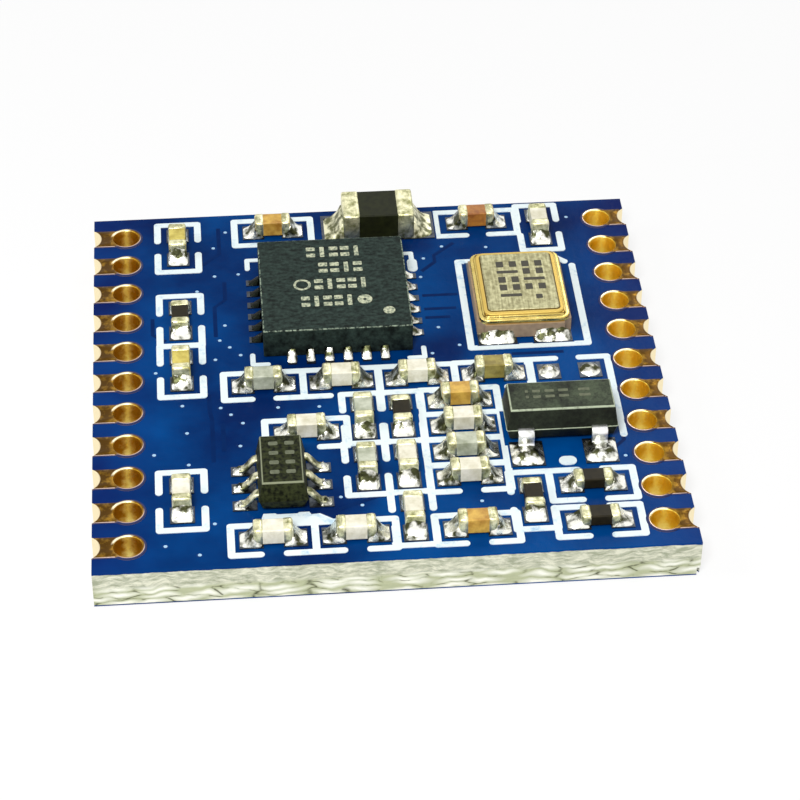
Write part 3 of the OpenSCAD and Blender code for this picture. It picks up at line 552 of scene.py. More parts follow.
# ---- Radio chip
# A sawn square of black moulding compound without leads: its terminals show only as small
# metal tongues at the foot of each side, each with a drop of solder drawn out in front.


def loop_of(w, l, r, arcs):
    """Points of a rectangle with rounded corners, anticlockwise."""
    points = []
    for k, (sx, sy) in enumerate(((1, 1), (-1, 1), (-1, -1), (1, -1))):
        for i in range(arcs + 1):
            a = math.pi / 2 * (k + i / arcs)
            points.append((sx * (w / 2 - r) + r * math.cos(a),
                           sy * (l / 2 - r) + r * math.sin(a)))
    return points


def stack(w, l, r, profile, arcs=3):
    """A closed solid of rounded rectangles, from (inset, level) pairs, bottom to top."""
    verts, faces = [], []
    n = 4 * (arcs + 1)
    for inset, z in profile:
        r_here = max(r - inset, 0.3 * r)
        verts += [(x, y, z) for x, y in loop_of(w - 2 * inset, l - 2 * inset, r_here, arcs)]
    for k in range(len(profile) - 1):
        for i in range(n):
            j = (i + 1) % n
            faces.append((k * n + i, k * n + j, (k + 1) * n + j, (k + 1) * n + i))
    faces.append(tuple(reversed(range(n))))
    faces.append(tuple((len(profile) - 1) * n + i for i in range(n)))
    return verts, faces


def rounded(h, edge, z=0.0):
    """Profile of an upright wall with rounded lower and upper edges."""
    return [(edge * 1.6, z), (edge, z), (edge * 0.3, z + edge * 0.3), (0, z + edge),
            (0, z + h - edge), (edge * 0.3, z + h - edge * 0.3), (edge, z + h),
            (edge * 1.6, z + h)]


def put(store, made, at, turn=0.0):
    """Adds a shape to a store of vertices and faces, turned about Z and moved."""
    verts, faces = made
    spin = Matrix.Rotation(turn, 3, "Z")
    start = len(store[0])
    store[0].extend(tuple(spin @ Vector(v) + Vector(at)) for v in verts)
    store[1].extend(tuple(start + i for i in f) for f in faces)


def seat(node_name):
    """Middle and size of a CAD node, in millimetres."""
    low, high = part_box(node_name)
    return (low + high) * 500, (high - low) * 1000


radio_mid, radio_size = seat("radio_chip_body")
radio_top = seat_z + 0.85
store = ([], [])
put(store, stack(4, 4, 0.03, [(0.012, 0), (0, 0.01), (0, 0.83), (0.012, 0.838), (0.035, 0.85),
                              (0.07, 0.85)]), (radio_mid.x, radio_mid.y, seat_z))
compound, tree, shader, mm = surface("laser_marked_moulding_compound")
grain = add(tree, "ShaderNodeTexNoise", {"Vector": mm, "Scale": 11.0, "Detail": 4.0,
                                         "Roughness": 0.7})
turned = add(tree, "ShaderNodeMapping", {0: mm, "Rotation": (0, 0, 0.7), "Scale": (1, 2.4, 1)})
brush = add(tree, "ShaderNodeTexNoise", {"Vector": turned.outputs[0], "Scale": 4.0,
                                         "Detail": 3.0})
mixed = add(tree, "ShaderNodeMath", {0: grain.outputs["Fac"], 1: brush.outputs["Fac"]},
            operation="MULTIPLY")
tone = add(tree, "ShaderNodeMapRange", {0: mixed.outputs[0], 1: 0.14, 2: 0.36})
black = add(tree, "ShaderNodeMix", {0: tone.outputs[0], 6: lin("#09120f"),
                                    7: lin("#303f39")}, data_type="RGBA")
# Painted highlight: a pale line along the rounded top edge of the pack, broken up by noise.
edge_glint = add(tree, "ShaderNodeMapRange", {
    0: add(tree, "ShaderNodeSeparateXYZ", {0: mm}).outputs["Z"], 1: 1.95, 2: 1.972})
glint_mottle = add(tree, "ShaderNodeMapRange", {0: grain.outputs["Fac"], 1: 0.44, 2: 0.58})
flat_top = add(tree, "ShaderNodeMapRange", {
    0: add(tree, "ShaderNodeSeparateXYZ", {0: mm}).outputs["Z"], 1: 1.9799, 2: 1.978})
edge_glint = add(tree, "ShaderNodeMath", {0: edge_glint.outputs[0], 1: glint_mottle.outputs[0]}, operation="MULTIPLY")
edge_glint = add(tree, "ShaderNodeMath", {0: edge_glint.outputs[0], 1: flat_top.outputs[0]},
           operation="MULTIPLY")
black = add(tree, "ShaderNodeMix", {0: edge_glint.outputs[0], 6: black.outputs[2],
                                    7: lin("#9fae98")}, data_type="RGBA")
bump = add(tree, "ShaderNodeBump", {"Height": grain.outputs["Fac"], "Strength": 0.7,
                                    "Distance": 0.00003})
tree.links.new(black.outputs[2], shader.inputs["Base Color"])
tree.links.new(bump.outputs[0], shader.inputs["Normal"])
shader.inputs["Roughness"].default_value = 0.7
shader.inputs["Specular IOR Level"].default_value = 0.15
piece("radio_chip", shape("radio_chip", *store), compound,
      ["radio_chip_body"])

# Marking: pale bars and rings, burnt in by laser, in place of the maker's characters, and
# the round mark of the first terminal. It lies on the chip and is as thin as a burn.
pale, tree, shader, mm = surface("laser_burnt_mark")
fleck = add(tree, "ShaderNodeTexNoise", {"Vector": mm, "Scale": 14.0, "Detail": 4.0})
tone = add(tree, "ShaderNodeMapRange", {0: fleck.outputs["Fac"], 1: 0.35, 2: 0.6})
light = add(tree, "ShaderNodeMix", {0: tone.outputs[0], 6: lin("#6d7866"),
                                    7: lin("#cdd0b0")}, data_type="RGBA")
tree.links.new(light.outputs[2], shader.inputs["Base Color"])
shader.inputs["Roughness"].default_value = 0.8


def ring_shape(outer, inner, h, steps=20):
    """A flat ring, or a disc where inner is 0."""
    verts, faces = [], []
    for k in range(steps):
        a = 2 * math.pi * k / steps
        for r, z in ((inner, 0), (outer, 0), (outer, h), (inner, h)):
            verts.append((r * math.cos(a), r * math.sin(a), z))
    for k in range(steps):
        j = (k + 1) % steps
        for i in range(4):
            m = (i + 1) % 4
            faces.append((k * 4 + i, j * 4 + i, j * 4 + m, k * 4 + m))
    return verts, faces


mark_t = 0.003
store = ([], [])
rows = ((1.4, -0.71, 0.86, 5), (0.69, -0.41, 0.86, 4), (-0.04, -0.56, 0.96, 5),
        (-0.78, -0.95, 0.54, 5))
for row_y, first_x, last_x, count in rows:
    cell = (last_x - first_x) / count
    for k in range(count):
        x, y = radio_mid.x + first_x + (k + 0.5) * cell, radio_mid.y + row_y
        if (k + count) % 3 == 0:
            bars = ((0, 0.12, 0.45),)
        else:
            bars = ((0.14, cell * 0.78, 0.16), (-0.14, cell * 0.78, 0.16))
        for dy, wide, high in bars:
            put(store, stack(wide, high, 0.02, [(0, 0), (0, mark_t)], 2), (x, y + dy, radio_top))
put(store, ring_shape(0.24, 0.17, mark_t), (radio_mid.x - 0.86, radio_mid.y - 0.04, radio_top))
put(store, ring_shape(0.2, 0.05, mark_t), (radio_mid.x + 0.8, radio_mid.y - 0.78, radio_top))
put(store, ring_shape(0.16, 0.001, mark_t), (radio_mid.x + 1.42, radio_mid.y - 1.3, radio_top))
piece("radio_chip_marking", shape("radio_chip_marking", *store), pale, [])

# Solder: painted bright at the toes and darker olive higher up towards the part, as a painted
# reflection of the bright tent above and the dark around, with patches of grain. The radio chip's
# left row is painted near black.
solder, tree, shader, mm = surface("reflowed_solder")
blot = add(tree, "ShaderNodeTexNoise", {"Vector": mm, "Scale": 3.6, "Detail": 3.0,
                                        "Roughness": 0.5})
level = add(tree, "ShaderNodeSeparateXYZ", {0: mm}).outputs["Z"]
# Painted reflection: the lower the solder, the lighter it is painted.
toe_reflection = add(tree, "ShaderNodeMapRange", {0: level, 1: 1.34, 2: 1.16, 3: -0.07, 4: 0.07})
tone = add(tree, "ShaderNodeMath", {0: blot.outputs["Fac"], 1: toe_reflection.outputs[0]})
tone = add(tree, "ShaderNodeMapRange", {0: tone.outputs[0], 1: 0.42, 2: 0.58})
bright = add(tree, "ShaderNodeMix", {0: tone.outputs[0], 6: lin("#45472f"),
                                     7: lin("#fffef4")}, data_type="RGBA")
spot = add(tree, "ShaderNodeSeparateXYZ", {0: mm}).outputs
# The joints of the radio chip's left row are painted near black.
dark_left_row = add(tree, "ShaderNodeMath", {0: spot["X"], 1: radio_mid.x - 2.2, 2: 0.35},
           operation="COMPARE")
row = add(tree, "ShaderNodeMath", {0: spot["Y"], 1: radio_mid.y, 2: 1.6},
          operation="COMPARE")
dark_left_row = add(tree, "ShaderNodeMath", {0: dark_left_row.outputs[0], 1: row.outputs[0]},
           operation="MULTIPLY")
bright = add(tree, "ShaderNodeMix", {0: dark_left_row.outputs[0], 6: bright.outputs[2],
                                     7: lin("#1a1d18")}, data_type="RGBA")
fine = add(tree, "ShaderNodeTexNoise", {"Vector": mm, "Scale": 9.0, "Detail": 4.0})
bump = add(tree, "ShaderNodeBump", {"Height": fine.outputs["Fac"], "Strength": 0.5,
                                    "Distance": 0.00004})
rough = add(tree, "ShaderNodeMapRange", {0: blot.outputs["Fac"], 1: 0.3, 2: 0.7, 3: 0.4,
                                         4: 0.16})
for socket, link in (("Base Color", bright.outputs[2]), ("Roughness", rough.outputs[0]),
                     ("Normal", bump.outputs[0])):
    tree.links.new(link, shader.inputs[socket])
shader.inputs["Metallic"].default_value = 1.0
dress(["radio_chip_terminals", "radio_chip_thermal_pad"], tin)

chance = random.Random(12)


def pool(reach, half, foot, climb, back=0.2, side_climb=0.5, sag=1.9, steps=(11, 13)):
    """Solder round the end of a part: it climbs the end face at x = 0, runs out to reach,
    and wets both sides of a foot that is 2 * foot wide, on a land 2 * half wide."""
    nx, ny = steps
    seed = Vector((chance.uniform(0, 50), chance.uniform(0, 50), 0))
    skew = chance.uniform(-0.12, 0.12)
    edge = 0.012
    verts, faces = [], []
    for i in range(nx):
        u = i / (nx - 1)
        x = -back + (back + reach) * u
        for j in range(ny):
            v = 2 * j / (ny - 1) - 1
            tuck = 1 - 0.22 * max(0.0, x / reach) ** 3
            y = v * half * tuck
            dx = max(x, 0) / reach
            dy = max(abs(y) - foot, 0) / max(half - foot, 1e-6)
            t = min(1.0, (dx ** 2.4 + dy ** 2.4) ** (1 / 2.4))
            top = climb * (1 - 0.25 * (y / half) ** 2) * (1 + skew * y / half)
            if x < 0:
                top *= side_climb + (1 - side_climb) * (1 + x / back) ** 2
            z = edge + top * (1 - t) ** sag
            z *= 1 + 0.22 * noise.noise(Vector((x, y, 0)) * 6 + seed)
            rim = i in (0, nx - 1) or j in (0, ny - 1)
            verts.append((x, y, 0.0 if rim else max(z, edge)))
    for i in range(nx - 1):
        for j in range(ny - 1):
            a = i * ny + j
            faces.append((a, a + ny, a + ny + 1, a + 1))
    under = ([j for j in range(ny)] + [i * ny + ny - 1 for i in range(1, nx)]
             + [(nx - 1) * ny + j for j in reversed(range(ny - 1))]
             + [i * ny for i in reversed(range(1, nx - 1))])
    faces.append(tuple(under))
    return verts, faces


# The 24 joints stand in a ring: the node tree turns one drop to each terminal.
drop = bpy.data.objects.new("one_drop", shape("one_drop", *pool(
    0.33, 0.15, 0.11, 0.23, back=0.04, side_climb=0.9, sag=1.3, steps=(8, 7))))
scene.collection.objects.link(drop)
ring_tree = bpy.data.node_groups.new("ring_of_joints", "GeometryNodeTree")
for kind, label, direction in (("NodeSocketGeometry", "Geometry", "INPUT"),
                               ("NodeSocketObject", "Joint", "INPUT"),
                               ("NodeSocketInt", "Each side", "INPUT"),
                               ("NodeSocketFloat", "Pitch", "INPUT"),
                               ("NodeSocketFloat", "Half width", "INPUT"),
                               ("NodeSocketFloat", "Uneven", "INPUT"),
                               ("NodeSocketInt", "Seed", "INPUT"),
                               ("NodeSocketVector", "Middle", "INPUT"),
                               ("NodeSocketMaterial", "Finish", "INPUT"),
                               ("NodeSocketGeometry", "Geometry", "OUTPUT")):
    ring_tree.interface.new_socket(name=label, in_out=direction, socket_type=kind)
given = add(ring_tree, "NodeGroupInput").outputs
each = given["Each side"]
total = add(ring_tree, "ShaderNodeMath", {0: each, 1: 4.0}, operation="MULTIPLY")
points = add(ring_tree, "GeometryNodePoints", {"Count": total.outputs[0]})
index = add(ring_tree, "GeometryNodeInputIndex")
side_no = add(ring_tree, "ShaderNodeMath", {0: index.outputs[0], 1: each}, operation="DIVIDE")
side_no = add(ring_tree, "ShaderNodeMath", {0: side_no.outputs[0]}, operation="FLOOR")
spot_no = add(ring_tree, "ShaderNodeMath", {0: index.outputs[0], 1: each},
              operation="MODULO")
middle = add(ring_tree, "ShaderNodeMath", {0: each, 1: 1.0}, operation="SUBTRACT")
middle = add(ring_tree, "ShaderNodeMath", {0: middle.outputs[0], 1: 0.5},
             operation="MULTIPLY")
off = add(ring_tree, "ShaderNodeMath", {0: spot_no.outputs[0], 1: middle.outputs[0]},
          operation="SUBTRACT")
off = add(ring_tree, "ShaderNodeMath", {0: off.outputs[0], 1: given["Pitch"]},
          operation="MULTIPLY")
turn = add(ring_tree, "ShaderNodeMath", {0: side_no.outputs[0], 1: math.pi / 2},
           operation="MULTIPLY")
spot = add(ring_tree, "ShaderNodeCombineXYZ", {0: given["Half width"], 1: off.outputs[0]})
spot = add(ring_tree, "ShaderNodeVectorRotate", {"Vector": spot.outputs[0],
                                                 "Angle": turn.outputs[0]},
           rotation_type="Z_AXIS")
spot = add(ring_tree, "ShaderNodeVectorMath", {0: spot.outputs[0], 1: given["Middle"]})
moved = add(ring_tree, "GeometryNodeSetPosition", {"Geometry": points.outputs[0],
                                                   "Position": spot.outputs[0]})
facing = add(ring_tree, "ShaderNodeCombineXYZ", {2: turn.outputs[0]})
least = add(ring_tree, "ShaderNodeMath", {0: 1.0, 1: given["Uneven"]}, operation="SUBTRACT")
size = add(ring_tree, "FunctionNodeRandomValue", {2: least.outputs[0], 3: 1.0,
                                                  "Seed": given["Seed"]})
pattern = add(ring_tree, "GeometryNodeObjectInfo", {"Object": given["Joint"]})
copies = add(ring_tree, "GeometryNodeInstanceOnPoints", {
    "Points": moved.outputs[0], "Instance": pattern.outputs["Geometry"],
    "Rotation": facing.outputs[0], "Scale": size.outputs[1]})
real = add(ring_tree, "GeometryNodeRealizeInstances", {0: copies.outputs[0]})
dressed = add(ring_tree, "GeometryNodeSetMaterial", {"Geometry": real.outputs[0],
                                                     "Material": given["Finish"]})
add(ring_tree, "NodeGroupOutput", {0: dressed.outputs[0]})
joints = grown("joints", ring_tree, bpy.data.meshes.new("start"), {
    "Joint": drop, "Each side": 6, "Pitch": 0.5, "Half width": 2.0, "Uneven": 0.2, "Seed": 4,
    "Middle": (radio_mid.x, radio_mid.y, seat_z), "Finish": solder})
bpy.data.objects.remove(drop)
piece("radio_chip_joints", joints, solder, ["radio_chip_solder"], 70)

# ---- Crystal
# A brown ceramic tub with hollowed corners, a gilded seal ring stepped round its rim, and a
# nickel lid welded on. The lid is rolled sheet, so its grain runs one way.
crystal_mid, crystal_size = seat("crystal_base")
tub, tree, shader, mm = surface("fired_brown_ceramic")
fleck = add(tree, "ShaderNodeTexNoise", {"Vector": mm, "Scale": 7.0, "Detail": 6.0})
brown = add(tree, "ShaderNodeMix", {0: fleck.outputs["Fac"], 6: lin("#7a6654"),
                                    7: lin("#b39c80")}, data_type="RGBA")
tree.links.new(brown.outputs[2], shader.inputs["Base Color"])
shader.inputs["Roughness"].default_value = 0.6
dress(["crystal_base"], tub)
dress(["crystal_terminals"], gold)

ring_gold, tree, shader, mm = surface("gilded_seal_ring")
blot = add(tree, "ShaderNodeTexNoise", {"Vector": mm, "Scale": 3.0, "Detail": 5.0})
metal = add(tree, "ShaderNodeMix", {0: blot.outputs["Fac"], 6: lin("#b8983a"),
                                    7: lin("#f6e494")}, data_type="RGBA")
lid_mid, lid_size = seat("crystal_lid")
spot = add(tree, "ShaderNodeSeparateXYZ", {0: mm}).outputs
beside = add(tree, "ShaderNodeMath", {0: spot["X"], 1: lid_mid.x}, operation="SUBTRACT")
beside = add(tree, "ShaderNodeMath", {0: beside.outputs[0]}, operation="ABSOLUTE")
beside = add(tree, "ShaderNodeMath", {0: beside.outputs[0], 1: lid_size.x / 2},
             operation="SUBTRACT")
before = add(tree, "ShaderNodeMath", {0: spot["Y"], 1: lid_mid.y}, operation="SUBTRACT")
before = add(tree, "ShaderNodeMath", {0: before.outputs[0]}, operation="ABSOLUTE")
before = add(tree, "ShaderNodeMath", {0: before.outputs[0], 1: lid_size.y / 2},
             operation="SUBTRACT")
out = add(tree, "ShaderNodeMath", {0: beside.outputs[0], 1: before.outputs[0]},
          operation="MAXIMUM")
out = add(tree, "ShaderNodeMath", {0: out.outputs[0], 1: 0.12})
# Painted shade: fine dark brown stripes round the lid stand for the shade in the grooves of the
# ring.
wave = add(tree, "ShaderNodeMath", {0: out.outputs[0], 1: 2 * math.pi / 0.1},
           operation="MULTIPLY")
wave = add(tree, "ShaderNodeMath", {0: wave.outputs[0]}, operation="COSINE")
groove_shade = add(tree, "ShaderNodeMapRange", {0: wave.outputs[0], 1: -0.2, 2: 0.8})
close = add(tree, "ShaderNodeMath", {0: out.outputs[0], 1: 0.06, 2: 0.08},
            operation="COMPARE")
groove_shade = add(tree, "ShaderNodeMath", {0: groove_shade.outputs[0], 1: close.outputs[0]},
             operation="MULTIPLY")
metal = add(tree, "ShaderNodeMix", {0: groove_shade.outputs[0], 6: metal.outputs[2],
                                    7: lin("#6a4a10")}, data_type="RGBA")
bump = add(tree, "ShaderNodeBump", {"Height": blot.outputs["Fac"], "Strength": 0.5,
                                    "Distance": 0.00003})
tree.links.new(metal.outputs[2], shader.inputs["Base Color"])
tree.links.new(bump.outputs[0], shader.inputs["Normal"])
shader.inputs["Metallic"].default_value = 1.0
shader.inputs["Roughness"].default_value = 0.24
store = ([], [])
put(store, stack(2.55, 3.1, 0.32, [
    (0.06, 0), (0.05, 0), (0.045, 0.03), (0.045, 0.11), (0.055, 0.132), (0.075, 0.14),
    (0.11, 0.138), (0.132, 0.142), (0.138, 0.155), (0.142, 0.185), (0.155, 0.2),
    (0.2, 0.2)], 5), (crystal_mid.x, crystal_mid.y, seat_z + 0.42))
piece("seal_ring", shape("seal_ring", *store), ring_gold,
      ["crystal_seal_ring"], 60)

lid, tree, shader, mm = surface("rolled_nickel_lid")
rolled = add(tree, "ShaderNodeVectorMath", {0: mm, 1: (16.0, 1.2, 1.0)},
             operation="MULTIPLY")
line_grain = add(tree, "ShaderNodeTexNoise", {"Vector": rolled.outputs[0], "Scale": 1.0,
                                              "Detail": 4.0})
fleck = add(tree, "ShaderNodeTexNoise", {"Vector": mm, "Scale": 9.0, "Detail": 4.0})
mixed = add(tree, "ShaderNodeMath", {0: line_grain.outputs["Fac"],
                                     1: fleck.outputs["Fac"]})
tone = add(tree, "ShaderNodeMapRange", {0: mixed.outputs[0], 1: 0.8, 2: 1.25})
metal = add(tree, "ShaderNodeMix", {0: tone.outputs[0], 6: lin("#8c8762"),
                                    7: lin("#c6c298")}, data_type="RGBA")
level = add(tree, "ShaderNodeSeparateXYZ", {0: mm}).outputs["Z"]
flange = add(tree, "ShaderNodeMapRange", {0: level, 1: 1.815, 2: 1.8})
metal = add(tree, "ShaderNodeMix", {0: flange.outputs[0], 6: metal.outputs[2],
                                    7: lin("#d2b45c")}, data_type="RGBA")
weld = add(tree, "ShaderNodeMath", {0: level, 1: 1.815, 2: 0.011}, operation="COMPARE")
metal = add(tree, "ShaderNodeMix", {0: weld.outputs[0], 6: metal.outputs[2],
                                    7: lin("#54400f")}, data_type="RGBA")
bump = add(tree, "ShaderNodeBump", {"Height": mixed.outputs[0], "Strength": 0.4,
                                    "Distance": 0.00002})
tree.links.new(metal.outputs[2], shader.inputs["Base Color"])
tree.links.new(bump.outputs[0], shader.inputs["Normal"])
shader.inputs["Metallic"].default_value = 0.75
shader.inputs["Roughness"].default_value = 0.5
store = ([], [])
put(store, stack(2.19, 2.74, 0.23, [
    (0.03, 0), (0, 0), (0, 0.03), (0.012, 0.044), (0.03, 0.05), (0.09, 0.05), (0.115, 0.058),
    (0.13, 0.075), (0.145, 0.09), (0.165, 0.1), (0.2, 0.1)], 5),
    (crystal_mid.x, crystal_mid.y, seat_z + 0.62))
piece("crystal_cover", shape("crystal_cover", *store), lid, ["crystal_lid"], 60)

dark, tree, shader, mm = surface("dark_laser_mark_on_nickel")
fleck = add(tree, "ShaderNodeTexNoise", {"Vector": mm, "Scale": 12.0, "Detail": 3.0})
tone = add(tree, "ShaderNodeMix", {0: fleck.outputs["Fac"], 6: lin("#1c1a12"),
                                   7: lin("#454130")}, data_type="RGBA")
tree.links.new(tone.outputs[2], shader.inputs["Base Color"])
shader.inputs["Roughness"].default_value = 0.6
store = ([], [])
lid_top = seat_z + 0.72
for column_x, high, count in ((-0.285, 1.72, 5), (0.42, 1.36, 4)):
    cell = high / count
    for k in range(count):
        y = 0.92 - (k + 0.5) * cell
        bars = ((0, 0.58, 0.12),) if (k + count) % 3 == 0 else (
            (-0.18, 0.2, cell * 0.74), (0.18, 0.2, cell * 0.74))
        for dx, wide, high_bar in bars:
            put(store, stack(wide, high_bar, 0.02, [(0, 0), (0, mark_t)], 2),
                (crystal_mid.x + column_x + dx, crystal_mid.y + y, lid_top))
put(store, stack(0.18, 0.18, 0.02, [(0, 0), (0, mark_t)], 2),
    (crystal_mid.x + 0.47, crystal_mid.y - 0.72, lid_top))
piece("crystal_marking", shape("crystal_marking", *store), dark, [])

store = ([], [])
for sx in (-1, 1):
    for sy in (-1, 1):
        spot = (crystal_mid.x + sx * 0.75, crystal_mid.y + sy * 1.55, seat_z)
        put(store, pool(0.26, 0.5, 0.44, 0.27, back=0.02, side_climb=1.0, sag=1.5),
            spot, sy * math.pi / 2)
piece("crystal_joints", shape("crystal_joints", *store), solder,
      ["crystal_solder"], 70)

# ---- Transistor
# A moulded body whose sides slope both ways from the parting line, and three tinned leads
# bent down and out, each standing in its solder.


def bent_strip(track, t, w):
    """A flat lead along points (x, z) in the XZ plane, with its edges eased."""
    ease = min(t, w) * 0.18
    section = [(-w / 2 + ease, -t / 2), (w / 2 - ease, -t / 2), (w / 2, -t / 2 + ease),
               (w / 2, t / 2 - ease), (w / 2 - ease, t / 2), (-w / 2 + ease, t / 2),
               (-w / 2, t / 2 - ease), (-w / 2, -t / 2 + ease)]
    verts, faces = [], []
    for k, (x, z) in enumerate(track):
        a = Vector(track[max(k - 1, 0)])
        b = Vector(track[min(k + 1, len(track) - 1)])
        d = (b - a).normalized()
        for y, h in section:
            verts.append((x - d.y * h, y, z + d.x * h))
    for k in range(len(track) - 1):
        for i in range(8):
            j = (i + 1) % 8
            faces.append((k * 8 + i, k * 8 + j, (k + 1) * 8 + j, (k + 1) * 8 + i))
    faces.append(tuple(reversed(range(8))))
    faces.append(tuple((len(track) - 1) * 8 + i for i in range(8)))
    return verts, faces


def gull_wing(x0, x1, z, t, foot):
    """Track of a lead that leaves the body at a level and ends flat on its land."""
    r = t * 1.1
    knee = x1 - foot - 2 * r
    track = [(x0, z)]
    for k in range(6):
        a = math.pi / 2 * (1 - k / 5)
        track.append((knee + r * math.cos(a), z - r + r * math.sin(a)))
    for k in range(6):
        a = math.pi * (1 + 0.5 * k / 5)
        track.append((knee + 2 * r + r * math.cos(a), t / 2 + r + r * math.sin(a)))
    track.append((x1, t / 2))
    return track


seam_share = 0.38


def moulded(z0, z1, draft, ease=0.045):
    """Profile of a moulded pack: sloped sides, parting line at the leads, eased edges."""
    mid = z0 + (z1 - z0) * seam_share
    return [(draft + ease * 2, z0), (draft + ease, z0), (draft, z0 + ease),
            (0.012, mid - 0.012), (0, mid - 0.01), (0, mid + 0.01), (0.012, mid + 0.012),
            (draft - 0.006, z1 - ease * 1.3), (draft + ease * 0.3, z1 - ease * 0.3),
            (draft + ease, z1), (draft + ease * 2, z1)]


transistor_mid, transistor_size = seat("transistor_body")
store = ([], [])
put(store, stack(2.9, 1.3, 0.05, moulded(0.06, 1.05, 0.1)),
    (transistor_mid.x, transistor_mid.y, seat_z))
glossy, tree, shader, mm = surface("moulded_black_epoxy")
grain = add(tree, "ShaderNodeTexNoise", {"Vector": mm, "Scale": 9.0, "Detail": 5.0,
                                         "Roughness": 0.7})
cloud = add(tree, "ShaderNodeTexNoise", {"Vector": mm, "Scale": 1.4, "Detail": 2.0})
mixed = add(tree, "ShaderNodeMath", {0: grain.outputs["Fac"], 1: cloud.outputs["Fac"]},
            operation="MULTIPLY")
tone = add(tree, "ShaderNodeMapRange", {0: mixed.outputs[0], 1: 0.13, 2: 0.36})
black = add(tree, "ShaderNodeMix", {0: tone.outputs[0], 6: lin("#13160f"),
                                    7: lin("#4a5440")}, data_type="RGBA")
level = add(tree, "ShaderNodeSeparateXYZ", {0: mm}).outputs["Z"]
# Painted shade: the sloping sides below the top are painted darker than the top.
side = add(tree, "ShaderNodeMapRange", {0: level, 1: 2.17, 2: 2.12, 4: 0.75})
black = add(tree, "ShaderNodeMix", {0: side.outputs[0], 6: black.outputs[2],
                                    7: lin("#0b0d09")}, data_type="RGBA")
# Painted highlight: pale lines along the rounded top edge and along the ridge of the parting line,
# broken up by noise.
edge_glint = add(tree, "ShaderNodeMapRange", {0: level, 1: 2.125, 2: 2.145})
flat_top = add(tree, "ShaderNodeMapRange", {0: level, 1: 2.1795, 2: 2.17})
edge_glint = add(tree, "ShaderNodeMath", {0: edge_glint.outputs[0], 1: flat_top.outputs[0]},
           operation="MULTIPLY")
seam = add(tree, "ShaderNodeMath", {0: level, 1: 1.566, 2: 0.014}, operation="COMPARE")
edge_glint = add(tree, "ShaderNodeMath", {0: edge_glint.outputs[0], 1: seam.outputs[0]},
           operation="MAXIMUM")
glint_mottle = add(tree, "ShaderNodeMapRange", {0: grain.outputs["Fac"], 1: 0.3, 2: 0.5, 3: 0.35})
edge_glint = add(tree, "ShaderNodeMath", {0: edge_glint.outputs[0], 1: glint_mottle.outputs[0]},
           operation="MULTIPLY")
black = add(tree, "ShaderNodeMix", {0: edge_glint.outputs[0], 6: black.outputs[2],
                                    7: lin("#b9c4a8")}, data_type="RGBA")
bump = add(tree, "ShaderNodeBump", {"Height": grain.outputs["Fac"], "Strength": 0.5,
                                    "Distance": 0.00002})
tree.links.new(black.outputs[2], shader.inputs["Base Color"])
tree.links.new(bump.outputs[0], shader.inputs["Normal"])
shader.inputs["Roughness"].default_value = 0.5
shader.inputs["Specular IOR Level"].default_value = 0.15
piece("transistor", shape("transistor", *store), glossy,
      ["transistor_body"], 40)

# Faint marks: shallow laser burns, hardly lighter than the pack, again as plain bars.
faint, tree, shader, mm = surface("faint_laser_mark")
fleck = add(tree, "ShaderNodeTexNoise", {"Vector": mm, "Scale": 12.0, "Detail": 4.0})
tone = add(tree, "ShaderNodeMix", {0: fleck.outputs["Fac"], 6: lin("#3a4030"),
                                   7: lin("#7d8268")}, data_type="RGBA")
tree.links.new(tone.outputs[2], shader.inputs["Base Color"])
shader.inputs["Roughness"].default_value = 0.8
store = ([], [])
for dx, wide in ((-0.87, 0.08), (-0.62, 0.2), (-0.28, 0.24), (0.08, 0.26), (0.62, 0.3)):
    for dy in (-0.1, 0.12):
        put(store, stack(wide, 0.1, 0.02, [(0, 0), (0, mark_t)], 2),
            (transistor_mid.x + dx, transistor_mid.y + 0.05 + dy, seat_z + 1.05 - 0.0005))
piece("transistor_marking", shape("transistor_marking", *store), faint, [])

leads, tree, shader, mm = surface("tinned_copper_lead")
blot = add(tree, "ShaderNodeTexNoise", {"Vector": mm, "Scale": 5.0, "Detail": 5.0})
tone = add(tree, "ShaderNodeMapRange", {0: blot.outputs["Fac"], 1: 0.3, 2: 0.55})
metal = add(tree, "ShaderNodeMix", {0: tone.outputs[0], 6: lin("#bfc2b0"),
                                    7: lin("#ffffff")}, data_type="RGBA")
bump = add(tree, "ShaderNodeBump", {"Height": blot.outputs["Fac"], "Strength": 0.5,
                                    "Distance": 0.00003})
tree.links.new(metal.outputs[2], shader.inputs["Base Color"])
tree.links.new(bump.outputs[0], shader.inputs["Normal"])
shader.inputs["Metallic"].default_value = 1.0
shader.inputs["Roughness"].default_value = 0.34
metal_store, wet_store = ([], []), ([], [])
for dx, way in ((-0.95, -1), (0.95, -1), (0, 1)):
    spot = (transistor_mid.x + dx, transistor_mid.y, seat_z)
    put(metal_store, bent_strip(gull_wing(0.45, 1.225, 0.436, 0.12, 0.3), 0.12, 0.42), spot,
        way * math.pi / 2)
    tip = (spot[0], spot[1] + way * 1.225, seat_z)
    put(wet_store, pool(0.27, 0.42, 0.2, 0.2, back=0.55, side_climb=0.5, sag=1.3), tip,
        way * math.pi / 2)
piece("transistor_legs", shape("transistor_legs", *metal_store), leads,
      ["transistor_leads"])
piece("transistor_joints", shape("transistor_joints", *wet_store), solder,
      ["transistor_solder"], 70)

